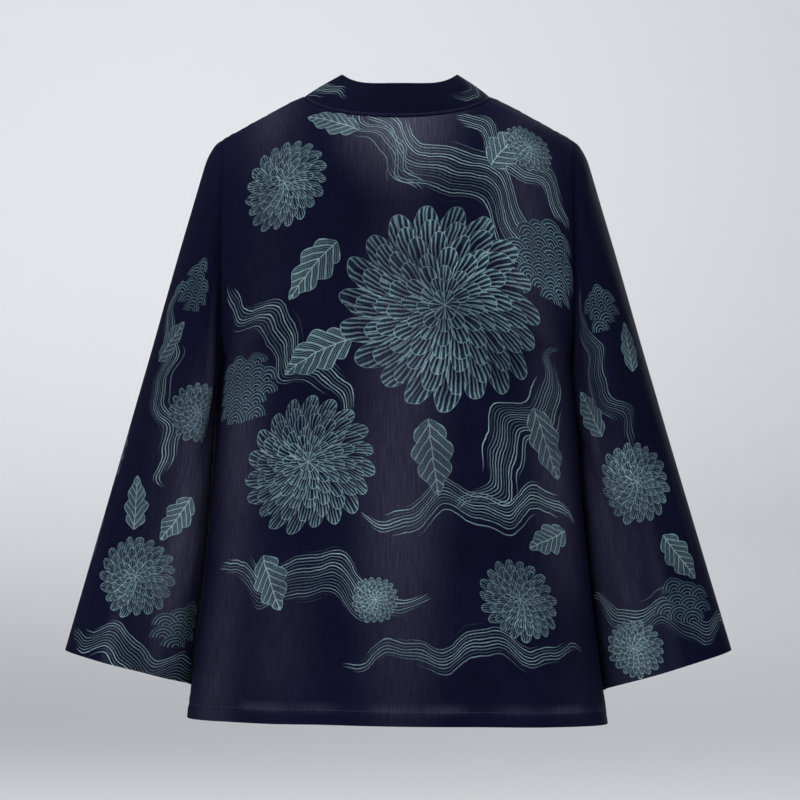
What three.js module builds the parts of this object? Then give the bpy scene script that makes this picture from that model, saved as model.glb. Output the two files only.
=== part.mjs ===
// Open-fronted cotton kimono jacket, hollow, in the pose it keeps on a wearer who isn't there.
// Millimetres. +Z is up, the garment's back faces -Y and its open front faces +Y.
// The origin lies midway between the two shoulder points of the neck seam.
import * as THREE from "three";

// Cloth
const CLOTH = 1.6; // wall of one printed panel
const BAND_CLOTH = 2.6; // the neck band is folded cloth, so it is thicker
const HEM_EXTRA = 0.6; // a turned-up hem is two layers
const SEAM_GAP = 0.3; // clear distance between two pieces that are sewn together
const BAND_JOIN_GAP = 0.8; // taken off a front length of the band, whose end leans in at the bend
const NAVY = 0x14152a;
const NAVY_BAND = 0x111225;

// Body
const NECK_HALF = 104; // neck seam on the shoulder, from the centre
const SHOULDER_HALF = 195; // armhole seam, from the centre
const SHOULDER_SLOPE = 0.55; // fall of the shoulder line for each millimetre out
const SHOULDER_TURN = 98; // where the shoulder line starts to fall
const SHOULDER_SOFTNESS = 10; // how gently it does so
const CAP_HEIGHT = 100; // height over which the shoulder rounds over into the back or front
const NECK_DROP = 27; // back neck seam below the shoulder points
const ARM_LEVEL = -150; // level where the armhole is deepest
const ARMPIT_Z = -290;
const HEM_Z = -697;
const HEM_TILT = -0.015; // the hem hangs a little lower on the right
const SQUARENESS = 2.4; // 2 gives an oval section, more gives a squarer one
const EDGE_HALF = 74; // seam of a front band at the hem, from the centre

// Cross-sections of the body, from the neck to the hem
const BODY_SECTIONS = [
  { z: 10, half: 195, back: 112, front: 106 },
  { z: -150, half: 195, back: 118, front: 118 },
  { z: -290, half: 196, back: 117, front: 125 },
  { z: -340, half: 200, back: 114, front: 122 },
  { z: -470, half: 209, back: 112, front: 118 },
  { z: -570, half: 219, back: 116, front: 120 },
  { z: -700, half: 236, back: 124, front: 126 },
];

// Half-depth of each armhole towards the back and towards the front
const ARMHOLE_DEPTH = { back: 72, front: 75 };

// Line of the seam between a front and its band, from the shoulder to the hem
const FRONT_EDGE = [
  { z: 0, x: NECK_HALF },
  { z: -30, x: 100 },
  { z: -100, x: 91 },
  { z: -180, x: 82 },
  { z: -260, x: 76 },
  { z: -340, x: EDGE_HALF },
  { z: -700, x: EDGE_HALF },
];

// Where the band's free edge lies from its seam, down the front
const BAND_LEAN = [
  { z: 0, dx: -39, dy: 0, dz: 25 },
  { z: -15, dx: -41, dy: -10, dz: 22 },
  { z: -50, dx: -44, dy: -6, dz: 17 },
  { z: -110, dx: -47, dy: 2, dz: 9 },
  { z: -190, dx: -49, dy: 5, dz: 3 },
  { z: -280, dx: -50, dy: 6, dz: 0 },
  { z: -700, dx: -50, dy: 4, dz: 0 },
];

// Free edge of the band round the back of the neck
const COLLAR_TOP = { half: 65, back: 60, centreZ: 12, sideZ: 25, rise: 2.6 };
const COLLAR_SHIFT = 3; // the standing collar leans this far to the right
const COLLAR_SHIFT_END = -140; // level where the lean has gone
const BAND_CROWN = 1.6; // how far the middle of the band stands proud of its edges

// Rings of a right sleeve, from the armhole to the cuff. "out" is on the top edge and "under" on the
// underarm, split is the share of the ring above its deepest point, forward moves it to the front.
const SLEEVE_RINGS = [
  { outX: 195, outZ: -48.3, underX: 195, underZ: -290, split: 0.4167, back: 72, front: 75, forward: 0 },
  { outX: 204, outZ: -55.5, underX: 196, underZ: -291, split: 0.43, back: 75, front: 77, forward: 1 },
  { outX: 212.5, outZ: -70, underX: 197, underZ: -293, split: 0.45, back: 79, front: 80, forward: 3 },
  { outX: 218.5, outZ: -88, underX: 198, underZ: -296, split: 0.46, back: 82, front: 83, forward: 6 },
  { outX: 228, outZ: -120, underX: 199, underZ: -300, split: 0.48, back: 85, front: 86, forward: 9 },
  { outX: 243, outZ: -170, underX: 198, underZ: -308, split: 0.5, back: 88, front: 88, forward: 13 },
  { outX: 259.5, outZ: -227, underX: 197, underZ: -320, split: 0.5, back: 90, front: 90, forward: 18 },
  { outX: 276, outZ: -285, underX: 197, underZ: -340, split: 0.5, back: 90, front: 90, forward: 22 },
  { outX: 292, outZ: -340, underX: 198, underZ: -368, split: 0.5, back: 88, front: 88, forward: 25 },
  { outX: 312, outZ: -409, underX: 201, underZ: -441, split: 0.5, back: 82, front: 82, forward: 27 },
  { outX: 332.5, outZ: -479, underX: 206, underZ: -516, split: 0.5, back: 74, front: 74, forward: 29 },
  { outX: 353, outZ: -549.5, underX: 214, underZ: -590, split: 0.5, back: 68, front: 68, forward: 30 },
  { outX: 373.5, outZ: -620, underX: 223, underZ: -664, split: 0.5, back: 62, front: 62, forward: 31 },
];
const SLEEVE_CLEARANCE = 2; // a hanging sleeve stays this far off the body's side

// Soft vertical folds: x at the hem, spread, how far they stand out, the level where they start,
// and their lean
const BACK_FOLDS = [
  { x: -190, spread: 16, rise: -3, top: -420, lean: -0.03 },
  { x: -140, spread: 24, rise: 5, top: -380, lean: -0.02 },
  { x: -84, spread: 26, rise: -5.5, top: -330, lean: -0.02 },
  { x: 2, spread: 44, rise: 5, top: -260, lean: 0 },
  { x: 92, spread: 30, rise: -4, top: -360, lean: 0.02 },
  { x: 152, spread: 26, rise: 3.5, top: -400, lean: 0.03 },
];
const FRONT_FOLDS = [
  { x: -196, spread: 17, rise: 3, top: -430, lean: -0.04 },
  { x: -150, spread: 24, rise: -5, top: -330, lean: -0.05 },
  { x: -105, spread: 20, rise: 4, top: -300, lean: -0.02 },
  { x: 108, spread: 20, rise: 4, top: -340, lean: 0.02 },
  { x: 155, spread: 25, rise: -5, top: -290, lean: 0.06 },
  { x: 200, spread: 16, rise: 3, top: -450, lean: 0.04 },
];

// Folds along a sleeve: degrees round from the top edge towards the back, spread, rise,
// and the stretch of the sleeve they run over
const LEFT_SLEEVE_FOLDS = [
  { angle: 73, spread: 15, rise: 4, from: 0.42, to: 1.1 },
  { angle: 100, spread: 13, rise: -4, from: 0.36, to: 1.1 },
  { angle: 126, spread: 14, rise: 4, from: 0.3, to: 1.1 },
  { angle: 150, spread: 12, rise: -3, from: 0.08, to: 0.55 },
  { angle: -80, spread: 16, rise: 4, from: 0.35, to: 1.1 },
  { angle: -115, spread: 14, rise: -4, from: 0.3, to: 1.1 },
];
const RIGHT_SLEEVE_FOLDS = [
  { angle: 62, spread: 14, rise: -3, from: 0.5, to: 1.1 },
  { angle: 92, spread: 16, rise: 3.5, from: 0.4, to: 1.1 },
  { angle: 128, spread: 14, rise: -3, from: 0.3, to: 1.1 },
  { angle: 150, spread: 12, rise: 3, from: 0.06, to: 0.6 },
  { angle: -70, spread: 15, rise: 3.5, from: 0.4, to: 1.1 },
  { angle: -108, spread: 15, rise: -4, from: 0.35, to: 1.1 },
];

// Each sleeve: its side as seen from behind, its folds, how far its cuff rises at the underarm, and
// how much further out its cuff reaches
const LEFT_SLEEVE = { side: -1, folds: LEFT_SLEEVE_FOLDS, cuffLift: 5.5, cuffOut: 0 };
const RIGHT_SLEEVE = { side: 1, folds: RIGHT_SLEEVE_FOLDS, cuffLift: -1, cuffOut: 3 };

// Mesh steps
const NECK_STEPS = 8; // half the back neck
const BAND_JOIN = 4; // the neck piece of the band ends this many steps from the centre
const SHOULDER_STEPS = 9; // from the neck point to the armhole or side seam
const FRONT_STEPS = 12; // from the band to the side seam
const CAP_ROWS = 7;
const ARMHOLE_ROWS = 5;
const SKIRT_ROWS = 11;
const ROWS = CAP_ROWS + ARMHOLE_ROWS + SKIRT_ROWS;
const BAND_STEPS = 3; // across the band
const RING_STEPS = 28; // round a sleeve
const SLEEVE_ROWS = 22;

const clamp01 = (t) => Math.min(1, Math.max(0, t));
const smooth = (t) => clamp01(t) ** 2 * (3 - 2 * clamp01(t));
const mix = (a, b, t) => a + (b - a) * t;
const softPlus = (a, width) => width * Math.log1p(Math.exp(a / width));
const softMax = (a, b, width) => b + softPlus(a - b, width);

// A smooth curve through the rows of a table: the value of one column at a place along another.
function along(table, key, place, value) {
  const last = table.length - 1;
  const sign = Math.sign(table[last][key] - table[0][key]);
  let i = 0;
  while (i < last - 1 && (place - table[i + 1][key]) * sign > 0) {
    i++;
  }
  const a = table[i];
  const b = table[i + 1];
  const before = table[Math.max(0, i - 1)];
  const after = table[Math.min(last, i + 2)];
  const span = b[key] - a[key];
  const slopeA = ((b[value] - before[value]) / (b[key] - before[key])) * span;
  const slopeB = ((after[value] - a[value]) / (after[key] - a[key])) * span;
  const t = clamp01((place - a[key]) / span);
  const t2 = t * t;
  const t3 = t2 * t;
  return (
    a[value] * (2 * t3 - 3 * t2 + 1) +
    slopeA * (t3 - 2 * t2 + t) +
    b[value] * (3 * t2 - 2 * t3) +
    slopeB * (t3 - t2)
  );
}

const ridgeTop = SHOULDER_SLOPE * softPlus(NECK_HALF - SHOULDER_TURN, SHOULDER_SOFTNESS);

// Height of the shoulder line.
const ridge = (x) =>
  ridgeTop - SHOULDER_SLOPE * softPlus(Math.abs(x) - SHOULDER_TURN, SHOULDER_SOFTNESS);

const halfWidth = (z) => along(BODY_SECTIONS, "z", z, "half");

// Depth of the armhole's edge, or 0 below the armpit, where the side seam is.
function edgeDepth(z, side) {
  if (z >= ARM_LEVEL) return ARMHOLE_DEPTH[side];
  const t = clamp01((ARM_LEVEL - z) / (ARM_LEVEL - ARMPIT_Z));
  return ARMHOLE_DEPTH[side] * Math.sqrt(1 - t * t);
}

// Distance of the cloth from the middle plane, where share is x over the half-width.
function bodyDepth(share, z, side) {
  const edge = edgeDepth(z, side);
  const round = Math.max(0, 1 - Math.abs(share) ** SQUARENESS) ** (1 / SQUARENESS);
  return edge + (along(BODY_SECTIONS, "z", z, side) - edge) * round;
}

// How far the soft folds lift the cloth.
function foldLift(folds, x, z) {
  const fade = 1 - smooth((Math.abs(x) / halfWidth(z) - 0.82) / 0.18);
  let lift = 0;
  for (const fold of folds) {
    const centre = fold.x - fold.lean * (z - HEM_Z);
    const share = smooth((fold.top - z) / (fold.top - HEM_Z));
    lift += fold.rise * share * Math.exp(-(((x - centre) / fold.spread) ** 2));
  }
  return lift * fade;
}

// Level of a row below the shoulder's rounding: the armhole rows, then the rows down to the hem.
function levelBelowCap(row, top, hem) {
  const armpit = mix(top, hem, (ARM_LEVEL - ARMPIT_Z) / (ARM_LEVEL - HEM_Z));
  if (row <= ARMHOLE_ROWS) return mix(top, armpit, Math.sin(((row / ARMHOLE_ROWS) * Math.PI) / 2));
  return mix(armpit, hem, (row - ARMHOLE_ROWS) / SKIRT_ROWS);
}

// A point of the body's cloth. across(z) gives x, and startTurn is how far over the shoulder the
// column begins.
function bodyPoint(shoulderX, across, startTurn, row, side) {
  const top = ridge(shoulderX);
  const turn = row < CAP_ROWS ? mix(startTurn, Math.PI / 2, row / CAP_ROWS) : Math.PI / 2;
  let z = top - CAP_HEIGHT * (1 - Math.cos(turn));
  if (row > CAP_ROWS) {
    const hem = HEM_Z + HEM_TILT * across(HEM_Z);
    z = levelBelowCap(row - CAP_ROWS, top - CAP_HEIGHT, hem);
  }
  const x = across(z);
  const folds = side === "back" ? BACK_FOLDS : FRONT_FOLDS;
  const depth = bodyDepth(x / halfWidth(z), z, side) * Math.sin(turn) + foldLift(folds, x, z);
  return new THREE.Vector3(x, side === "back" ? -depth - SEAM_GAP / 2 : depth + SEAM_GAP / 2, z);
}

// Columns of the back, counted from its centre: round the neck by equal angles, then out to the side.
function backShare(column) {
  const k = Math.abs(column);
  const neckShare = NECK_HALF / SHOULDER_HALF;
  if (k <= NECK_STEPS) {
    return Math.sign(column) * neckShare * Math.sin((k / NECK_STEPS) * (Math.PI / 2));
  }
  const neckTurn = Math.asin(neckShare ** (SQUARENESS / 2));
  const turn = mix(neckTurn, Math.PI / 2, (k - NECK_STEPS) / SHOULDER_STEPS);
  return Math.sign(column) * Math.sin(turn) ** (2 / SQUARENESS);
}

// How far over the shoulder the back neck seam lies.
function neckTurn(x) {
  const drop = NECK_DROP * Math.sqrt(Math.max(0, 1 - (x / NECK_HALF) ** 2));
  return Math.acos(1 - (ridge(x) + drop) / CAP_HEIGHT);
}

function backPoint(column, row) {
  const share = backShare(column);
  const inNeck = Math.abs(column) < NECK_STEPS;
  const startTurn = inNeck ? neckTurn(share * SHOULDER_HALF) : 0;
  return bodyPoint(share * SHOULDER_HALF, (z) => share * halfWidth(z), startTurn, row, "back");
}

// side is -1 for the left front and 1 for the right one, as the garment is seen from behind.
function frontPoint(side, column, row) {
  const share = Math.sin((column / FRONT_STEPS) * (Math.PI / 2)) ** (2 / SQUARENESS);
  const across = (z) => side * mix(along(FRONT_EDGE, "z", z, "x"), halfWidth(z), share);
  return bodyPoint(side * mix(NECK_HALF, SHOULDER_HALF, share), across, 0, row, "front");
}

// A wall of cloth from a grid of outer points. middle is a point inside, settle adjusts the normals
// at a seam, and thickness may grow where a hem is turned up.
const PLAIN_WALL = { closed: false, settle: () => {}, thickness: () => CLOTH };

function clothWall(pointAt, columns, rows, options) {
  const { middle, closed, settle, thickness } = { ...PLAIN_WALL, ...options };
  const outer = [];
  const across = closed ? columns : columns + 1;
  for (let j = 0; j <= rows; j++) {
    for (let i = 0; i < across; i++) {
      outer.push(pointAt(i, j));
    }
  }
  const at = (i, j) => j * across + (closed ? (i + columns) % columns : i);
  const normals = outer.map(() => new THREE.Vector3());
  const cells = [];
  for (let j = 0; j < rows; j++) {
    for (let i = 0; i < columns; i++) {
      cells.push([at(i, j), at(i + 1, j), at(i + 1, j + 1), at(i, j + 1)]);
    }
  }
  for (const [a, b, c, d] of cells) {
    const one = outer[c].clone().sub(outer[a]);
    const normal = one.cross(outer[d].clone().sub(outer[b]));
    for (const k of [a, b, c, d]) {
      normals[k].add(normal);
    }
  }
  const facing = Math.sign(
    normals.reduce((sum, normal, k) => sum + normal.dot(outer[k].clone().sub(middle)), 0),
  );
  const inner = outer.map((point, k) => {
    const i = k % across;
    const j = Math.floor(k / across);
    const normal = normals[k].multiplyScalar(facing).normalize();
    settle(normal, i, j);
    return point.clone().addScaledVector(normal.normalize(), -thickness(i, j));
  });
  const count = outer.length;
  const faces = [];
  const quad = (a, b, c, d) => faces.push(a, b, c, a, c, d);
  for (const [a, b, c, d] of cells) {
    quad(a, b, c, d);
    quad(count + d, count + c, count + b, count + a);
  }
  const rim = (loop) => loop.slice(1).forEach((b, k) => quad(b, loop[k], count + loop[k], count + b));
  const line = (n, make) => Array.from({ length: n + 1 }, (_, k) => make(k));
  rim(line(columns, (k) => at(k, 0)));
  rim(line(columns, (k) => at(columns - k, rows)));
  if (!closed) {
    rim(line(rows, (k) => at(columns, k)));
    rim(line(rows, (k) => at(0, rows - k)));
  }
  if (facing < 0) faces.reverse();
  const geometry = new THREE.BufferGeometry();
  const positions = [...outer, ...inner].flatMap((p) => [p.x, p.y, p.z]);
  geometry.setAttribute("position", new THREE.Float32BufferAttribute(positions, 3));
  geometry.setIndex(faces);
  geometry.computeVertexNormals();
  return geometry;
}

const cloth = (color) => new THREE.MeshStandardMaterial({ color, roughness: 0.9, metalness: 0 });
const BODY_MIDDLE = new THREE.Vector3(0, 0, -350);
const SLEEVE_MIDDLE = new THREE.Vector3(270, 20, -360);

// Neighbouring panels share a seam in the plane y = 0, so their rims there stay square to it.
const squareToSeam = (normal) => normal.setY(0);

function backPanel() {
  const half = NECK_STEPS + SHOULDER_STEPS;
  const armpitRow = CAP_ROWS + ARMHOLE_ROWS;
  const settle = (normal, i, j) => {
    const onShoulder = j === 0 && Math.abs(i - half) >= NECK_STEPS;
    const onSide = (i === 0 || i === 2 * half) && j >= armpitRow;
    if (onShoulder || onSide) squareToSeam(normal);
  };
  const thickness = (i, j) => (j >= ROWS ? CLOTH + HEM_EXTRA : CLOTH);
  const point = (i, j) => backPoint(i - half, j);
  return clothWall(point, 2 * half, ROWS, { middle: BODY_MIDDLE, settle, thickness });
}

function frontPanel(side) {
  const armpitRow = CAP_ROWS + ARMHOLE_ROWS;
  const settle = (normal, i, j) => {
    if (j === 0 || (i === FRONT_STEPS && j >= armpitRow)) squareToSeam(normal);
  };
  const thickness = (i, j) => (j >= ROWS ? CLOTH + HEM_EXTRA : CLOTH);
  const point = (i, j) => frontPoint(side, i, j);
  return clothWall(point, FRONT_STEPS, ROWS, { middle: BODY_MIDDLE, settle, thickness });
}

// The band's two edges at a station: stations 0 to NECK_STEPS go from the centre back to the shoulder,
// and the rest go down the front.
function bandEdges(side, station) {
  if (station < NECK_STEPS) {
    const seam = backPoint(side * station, 0);
    const angle = (station / NECK_STEPS) * (Math.PI / 2);
    const x = COLLAR_SHIFT + side * COLLAR_TOP.half * Math.sin(angle);
    const rise = (COLLAR_TOP.sideZ - COLLAR_TOP.centreZ) * Math.sin(angle) ** COLLAR_TOP.rise;
    return [seam, new THREE.Vector3(x, -COLLAR_TOP.back * Math.cos(angle), COLLAR_TOP.centreZ + rise)];
  }
  const seam = frontPoint(side, 0, station - NECK_STEPS);
  if (station === NECK_STEPS) seam.setY(0);
  const lean = (key) => along(BAND_LEAN, "z", seam.z, key);
  const shift = COLLAR_SHIFT * (1 - smooth(seam.z / COLLAR_SHIFT_END));
  const free = new THREE.Vector3(side * lean("dx") + shift, lean("dy"), lean("dz"));
  return [seam, free.add(seam)];
}

function bandPoint(side, station, step) {
  const [seam, free] = bandEdges(side, station);
  const width = free.distanceTo(seam);
  const share = mix(SEAM_GAP / width, 1, step / BAND_STEPS);
  const point = seam.clone().lerp(free, share);
  const outward = new THREE.Vector3(point.x, point.y, 0).normalize();
  return point.addScaledVector(outward, BAND_CROWN * Math.sin(Math.PI * share));
}

const BAND_WALL = { middle: BODY_MIDDLE, thickness: () => BAND_CLOTH };

function neckBand() {
  const point = (i, j) => bandPoint(i < BAND_JOIN ? -1 : 1, Math.abs(i - BAND_JOIN), j);
  return clothWall(point, 2 * BAND_JOIN, BAND_STEPS, BAND_WALL);
}

function frontBand(side) {
  const last = NECK_STEPS + ROWS;
  const point = (i, j) => {
    const here = bandPoint(side, BAND_JOIN + i, j);
    if (i > 0) return here;
    const next = bandPoint(side, BAND_JOIN + 1, j);
    return here.addScaledVector(next.sub(here).normalize(), BAND_JOIN_GAP);
  };
  return clothWall(point, last - BAND_JOIN, BAND_STEPS, BAND_WALL);
}

// Half-width of the body at a depth y, which a hanging sleeve stays clear of.
function bodySide(y, z) {
  const half = halfWidth(z);
  if (z >= ARMPIT_Z) return half;
  const depth = along(BODY_SECTIONS, "z", z, y < 0 ? "back" : "front");
  return half * Math.max(0, 1 - (Math.abs(y) / depth) ** SQUARENESS) ** (1 / SQUARENESS);
}

function sleevePoint({ side, folds, cuffLift, cuffOut }, column, row) {
  const t = row / SLEEVE_ROWS;
  const place = t * (SLEEVE_RINGS.length - 1);
  const rings = SLEEVE_RINGS.map((ring, index) => ({ index, ...ring }));
  const value = (key) => along(rings, "index", place, key);
  const angle = (column / RING_STEPS) * 2 * Math.PI;
  const toOut = new THREE.Vector2(value("outX") - value("underX"), value("outZ") - value("underZ"));
  const height = toOut.length();
  const split = value("split");
  const above = Math.cos(angle) >= 0 ? split : 1 - split;
  const depth = Math.sin(angle) > 0 ? value("back") : value("front");
  const degrees = THREE.MathUtils.radToDeg(angle);
  let lift = 0;
  for (const fold of folds) {
    const off = ((degrees - fold.angle + 540) % 360) - 180;
    const start = smooth((t - fold.from) / 0.25);
    const end = 1 - smooth((t - fold.to) / 0.2);
    lift += fold.rise * start * end * Math.exp(-((off / fold.spread) ** 2));
  }
  const up = height * above * Math.cos(angle) + lift * Math.cos(angle);
  const share = 1 - split + up / height;
  const outShare = clamp01(share);
  const x = value("underX") + toOut.x * share + cuffOut * t ** 3 * outShare;
  const z = value("underZ") + toOut.y * share + cuffLift * t ** 3 * (1 - outShare);
  const y = value("forward") - (depth + lift) * Math.sin(angle);
  const clearance = mix(SEAM_GAP, SLEEVE_CLEARANCE, smooth(t / 0.2));
  const limit = bodySide(y, z) + clearance;
  const kept = row === 0 ? halfWidth(z) + SEAM_GAP : softMax(x, limit, mix(0.05, 2, smooth(t / 0.3)));
  return new THREE.Vector3(side * kept, y, z);
}

function sleeve(shape) {
  const settle = (normal, i, j) => {
    if (j === 0) normal.setX(0);
  };
  const thickness = (i, j) => (j >= SLEEVE_ROWS ? CLOTH + HEM_EXTRA : CLOTH);
  const point = (i, j) => sleevePoint(shape, i, j);
  const middle = new THREE.Vector3(shape.side * SLEEVE_MIDDLE.x, SLEEVE_MIDDLE.y, SLEEVE_MIDDLE.z);
  return clothWall(point, RING_STEPS, SLEEVE_ROWS, { middle, closed: true, settle, thickness });
}

function piece(name, geometry, color) {
  const mesh = new THREE.Mesh(geometry, cloth(color));
  mesh.name = name;
  return mesh;
}

const kimono = new THREE.Group();
kimono.add(piece("back", backPanel(), NAVY));
kimono.add(piece("front_left", frontPanel(-1), NAVY));
kimono.add(piece("front_right", frontPanel(1), NAVY));
kimono.add(piece("sleeve_left", sleeve(LEFT_SLEEVE), NAVY));
kimono.add(piece("sleeve_right", sleeve(RIGHT_SLEEVE), NAVY));
kimono.add(piece("band_neck", neckBand(), NAVY_BAND));
kimono.add(piece("band_left", frontBand(-1), NAVY_BAND));
kimono.add(piece("band_right", frontBand(1), NAVY_BAND));

export default kimono;
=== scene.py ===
"""Looks of an open-fronted cotton kimono jacket that hangs filled out, with nobody in it.

The jacket is seen from behind. It is cut from plain-woven cotton in navy, printed with fine
pale-teal linework of chrysanthemums, leaves, wave scales and running water. Metres, +Z up, the
back of the jacket faces -Y. Flat cloth coordinates run across (u) and along the grain (v).
"""

import logging
import math
from collections.abc import Callable
from dataclasses import dataclass, field
from enum import Enum
from functools import partialmethod

import bpy
import numpy as np
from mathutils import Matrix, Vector


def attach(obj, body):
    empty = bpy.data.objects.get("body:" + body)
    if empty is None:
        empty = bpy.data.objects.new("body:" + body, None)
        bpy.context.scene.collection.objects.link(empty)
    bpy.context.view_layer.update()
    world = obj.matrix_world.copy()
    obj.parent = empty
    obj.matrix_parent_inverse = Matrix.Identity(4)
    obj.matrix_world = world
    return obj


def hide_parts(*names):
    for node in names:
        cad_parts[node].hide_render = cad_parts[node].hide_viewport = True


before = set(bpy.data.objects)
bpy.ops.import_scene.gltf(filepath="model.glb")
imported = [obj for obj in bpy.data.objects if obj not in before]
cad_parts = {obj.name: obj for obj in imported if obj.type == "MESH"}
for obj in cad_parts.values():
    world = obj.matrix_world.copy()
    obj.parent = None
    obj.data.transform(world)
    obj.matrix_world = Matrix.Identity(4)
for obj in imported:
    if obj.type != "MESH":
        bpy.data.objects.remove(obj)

Array = np.ndarray

log = logging.getLogger("kimono")
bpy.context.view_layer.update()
FLAT_MAP = "flat_cloth"  # UV map in metres of flat cloth
PAINTED_LIGHT_ATTRIBUTE = "painted_light_share"  # how much painted light pales the dye at each point
BODY_MIDDLE = (0.0, 0.0, -0.35)
SEAM_GAP = 0.0003  # between a sleeve or the band and the body
SEAM_HAIR = 0.00004  # between two body panels that are sewn together
SEAM_ALLOWANCE = 0.007  # width of cloth left inside a seam
SLEEVE_DEPTH, BAND_DEPTH = 0.0009, 0.0013  # how far inside its neighbour an allowance lies
CLOTH_WALL = 0.0006  # half a millimetre of cotton, and a little for its nap
HEM_GAP = 0.0012  # two layers of cloth in a turned edge, middle to middle
HEM_STITCH = 0.0155  # height of the hem's stitch line above the fold
BAND_WIDTH = 0.049
BAND_STITCHES = (0.0025, 0.0044)  # rows of topstitching, from the band's seam
TURN_ROWS = 7  # rows round the fold of a turned edge
FADE = 0.35  # share of a crease over which each end fades
CREASE_SPREAD = (0.7, 1.3)  # how its width changes from its start to its end


# Curves and surfaces


def smooth(t: Array | float) -> Array:
    """Soft step: 3t squared less 2t cubed, with t held between 0 and 1."""
    t = np.clip(t, 0.0, 1.0)
    return t * t * (3.0 - 2.0 * t)


def mix(a: Array | float, b: Array | float, t: Array | float) -> Array:
    """The value a share t of the way from a to b."""
    return a + (b - a) * t


def soft_plus(a: Array | float, width: float) -> Array:
    """A ramp that starts softly: width times log(1 + exp(a / width))."""
    return width * np.logaddexp(0.0, np.asarray(a) / width)


def unit(vectors: Array) -> Array:
    """The vectors, each divided by its own length."""
    return vectors / np.maximum(np.linalg.norm(vectors, axis=-1, keepdims=True), 1e-12)


@dataclass(frozen=True)
class Curve:
    """A smooth line through a few stations: cubic pieces whose slope at a station is that of the
    chord between its two neighbours."""

    places: tuple[float, ...]
    values: tuple[float, ...]

    def __call__(self, place: Array | float) -> Array:
        """The line's value at each place.

        Args:
            place: where to read the line, held between its first and last stations.

        Returns:
            The values, in the shape of place.
        """
        way = np.sign(self.places[-1] - self.places[0])
        x, y = np.array(self.places) * way, np.array(self.values)
        slope = np.empty_like(y)
        slope[1:-1] = (y[2:] - y[:-2]) / (x[2:] - x[:-2])
        slope[0], slope[-1] = (y[1] - y[0]) / (x[1] - x[0]), (y[-1] - y[-2]) / (x[-1] - x[-2])
        at = np.clip(np.asarray(place, float) * way, x[0], x[-1])
        i = np.clip(np.searchsorted(x, at) - 1, 0, len(x) - 2)
        span = x[i + 1] - x[i]
        t = (at - x[i]) / span
        rise, run = 3 * t**2 - 2 * t**3, t**3 - 2 * t**2 + t
        return mix(y[i], y[i + 1], rise) + span * (slope[i] * run + slope[i + 1] * (t**3 - t**2))


@dataclass(frozen=True)
class Crease:
    """A soft ridge (height above 0) or trough (below 0) along a bowed line on the flat cloth."""

    start: tuple[float, float]
    end: tuple[float, float]
    width: float
    height: float
    bow: float

    def lift(self, flat: Array) -> Array:
        """How far the crease lifts each point of the cloth.

        The height falls off as exp(-(distance / width) squared) from a line that bows by half a
        sine between its ends, and fades over the last third at either end.

        Args:
            flat: flat cloth coordinates, (..., 2).

        Returns:
            The lift in metres, (...).
        """
        start, end = np.array(self.start), np.array(self.end)
        run = end - start
        length = float(np.hypot(*run))
        along = ((flat - start) @ run) / length**2
        aside = ((flat - start) @ np.array([-run[1], run[0]])) / length
        aside = aside - self.bow * np.sin(np.pi * np.clip(along, 0, 1))
        fade = smooth(along / FADE) * smooth((1 - along) / FADE)
        width = self.width * mix(*CREASE_SPREAD, np.clip(along, 0, 1))
        return self.height * fade * np.exp(-((aside / width) ** 2))


def add_object(name: str, points: Array, faces: object, dress: list) -> bpy.types.Object:
    """Adds a smooth-shaded mesh object with these points, faces and materials."""
    mesh = bpy.data.meshes.new(name)
    mesh.from_pydata(points, [], faces)
    mesh.shade_smooth()
    for material in dress:
        mesh.materials.append(material)
    return add_to_scene(name, mesh)


def add_to_scene(name: str, data: bpy.types.ID) -> bpy.types.Object:
    """Adds an object that holds this mesh, lamp or camera."""
    made = bpy.data.objects.new(name, data)
    bpy.context.scene.collection.objects.link(made)
    return made


def ring_quads(index: Array) -> Array:
    """Faces between the rows of a grid of point numbers whose rows close into rings."""
    near, far = index[..., :-1, :], index[..., 1:, :]
    return np.stack([near, np.roll(near, -1, -1), np.roll(far, -1, -1), far], -1).reshape(-1, 4)


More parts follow.
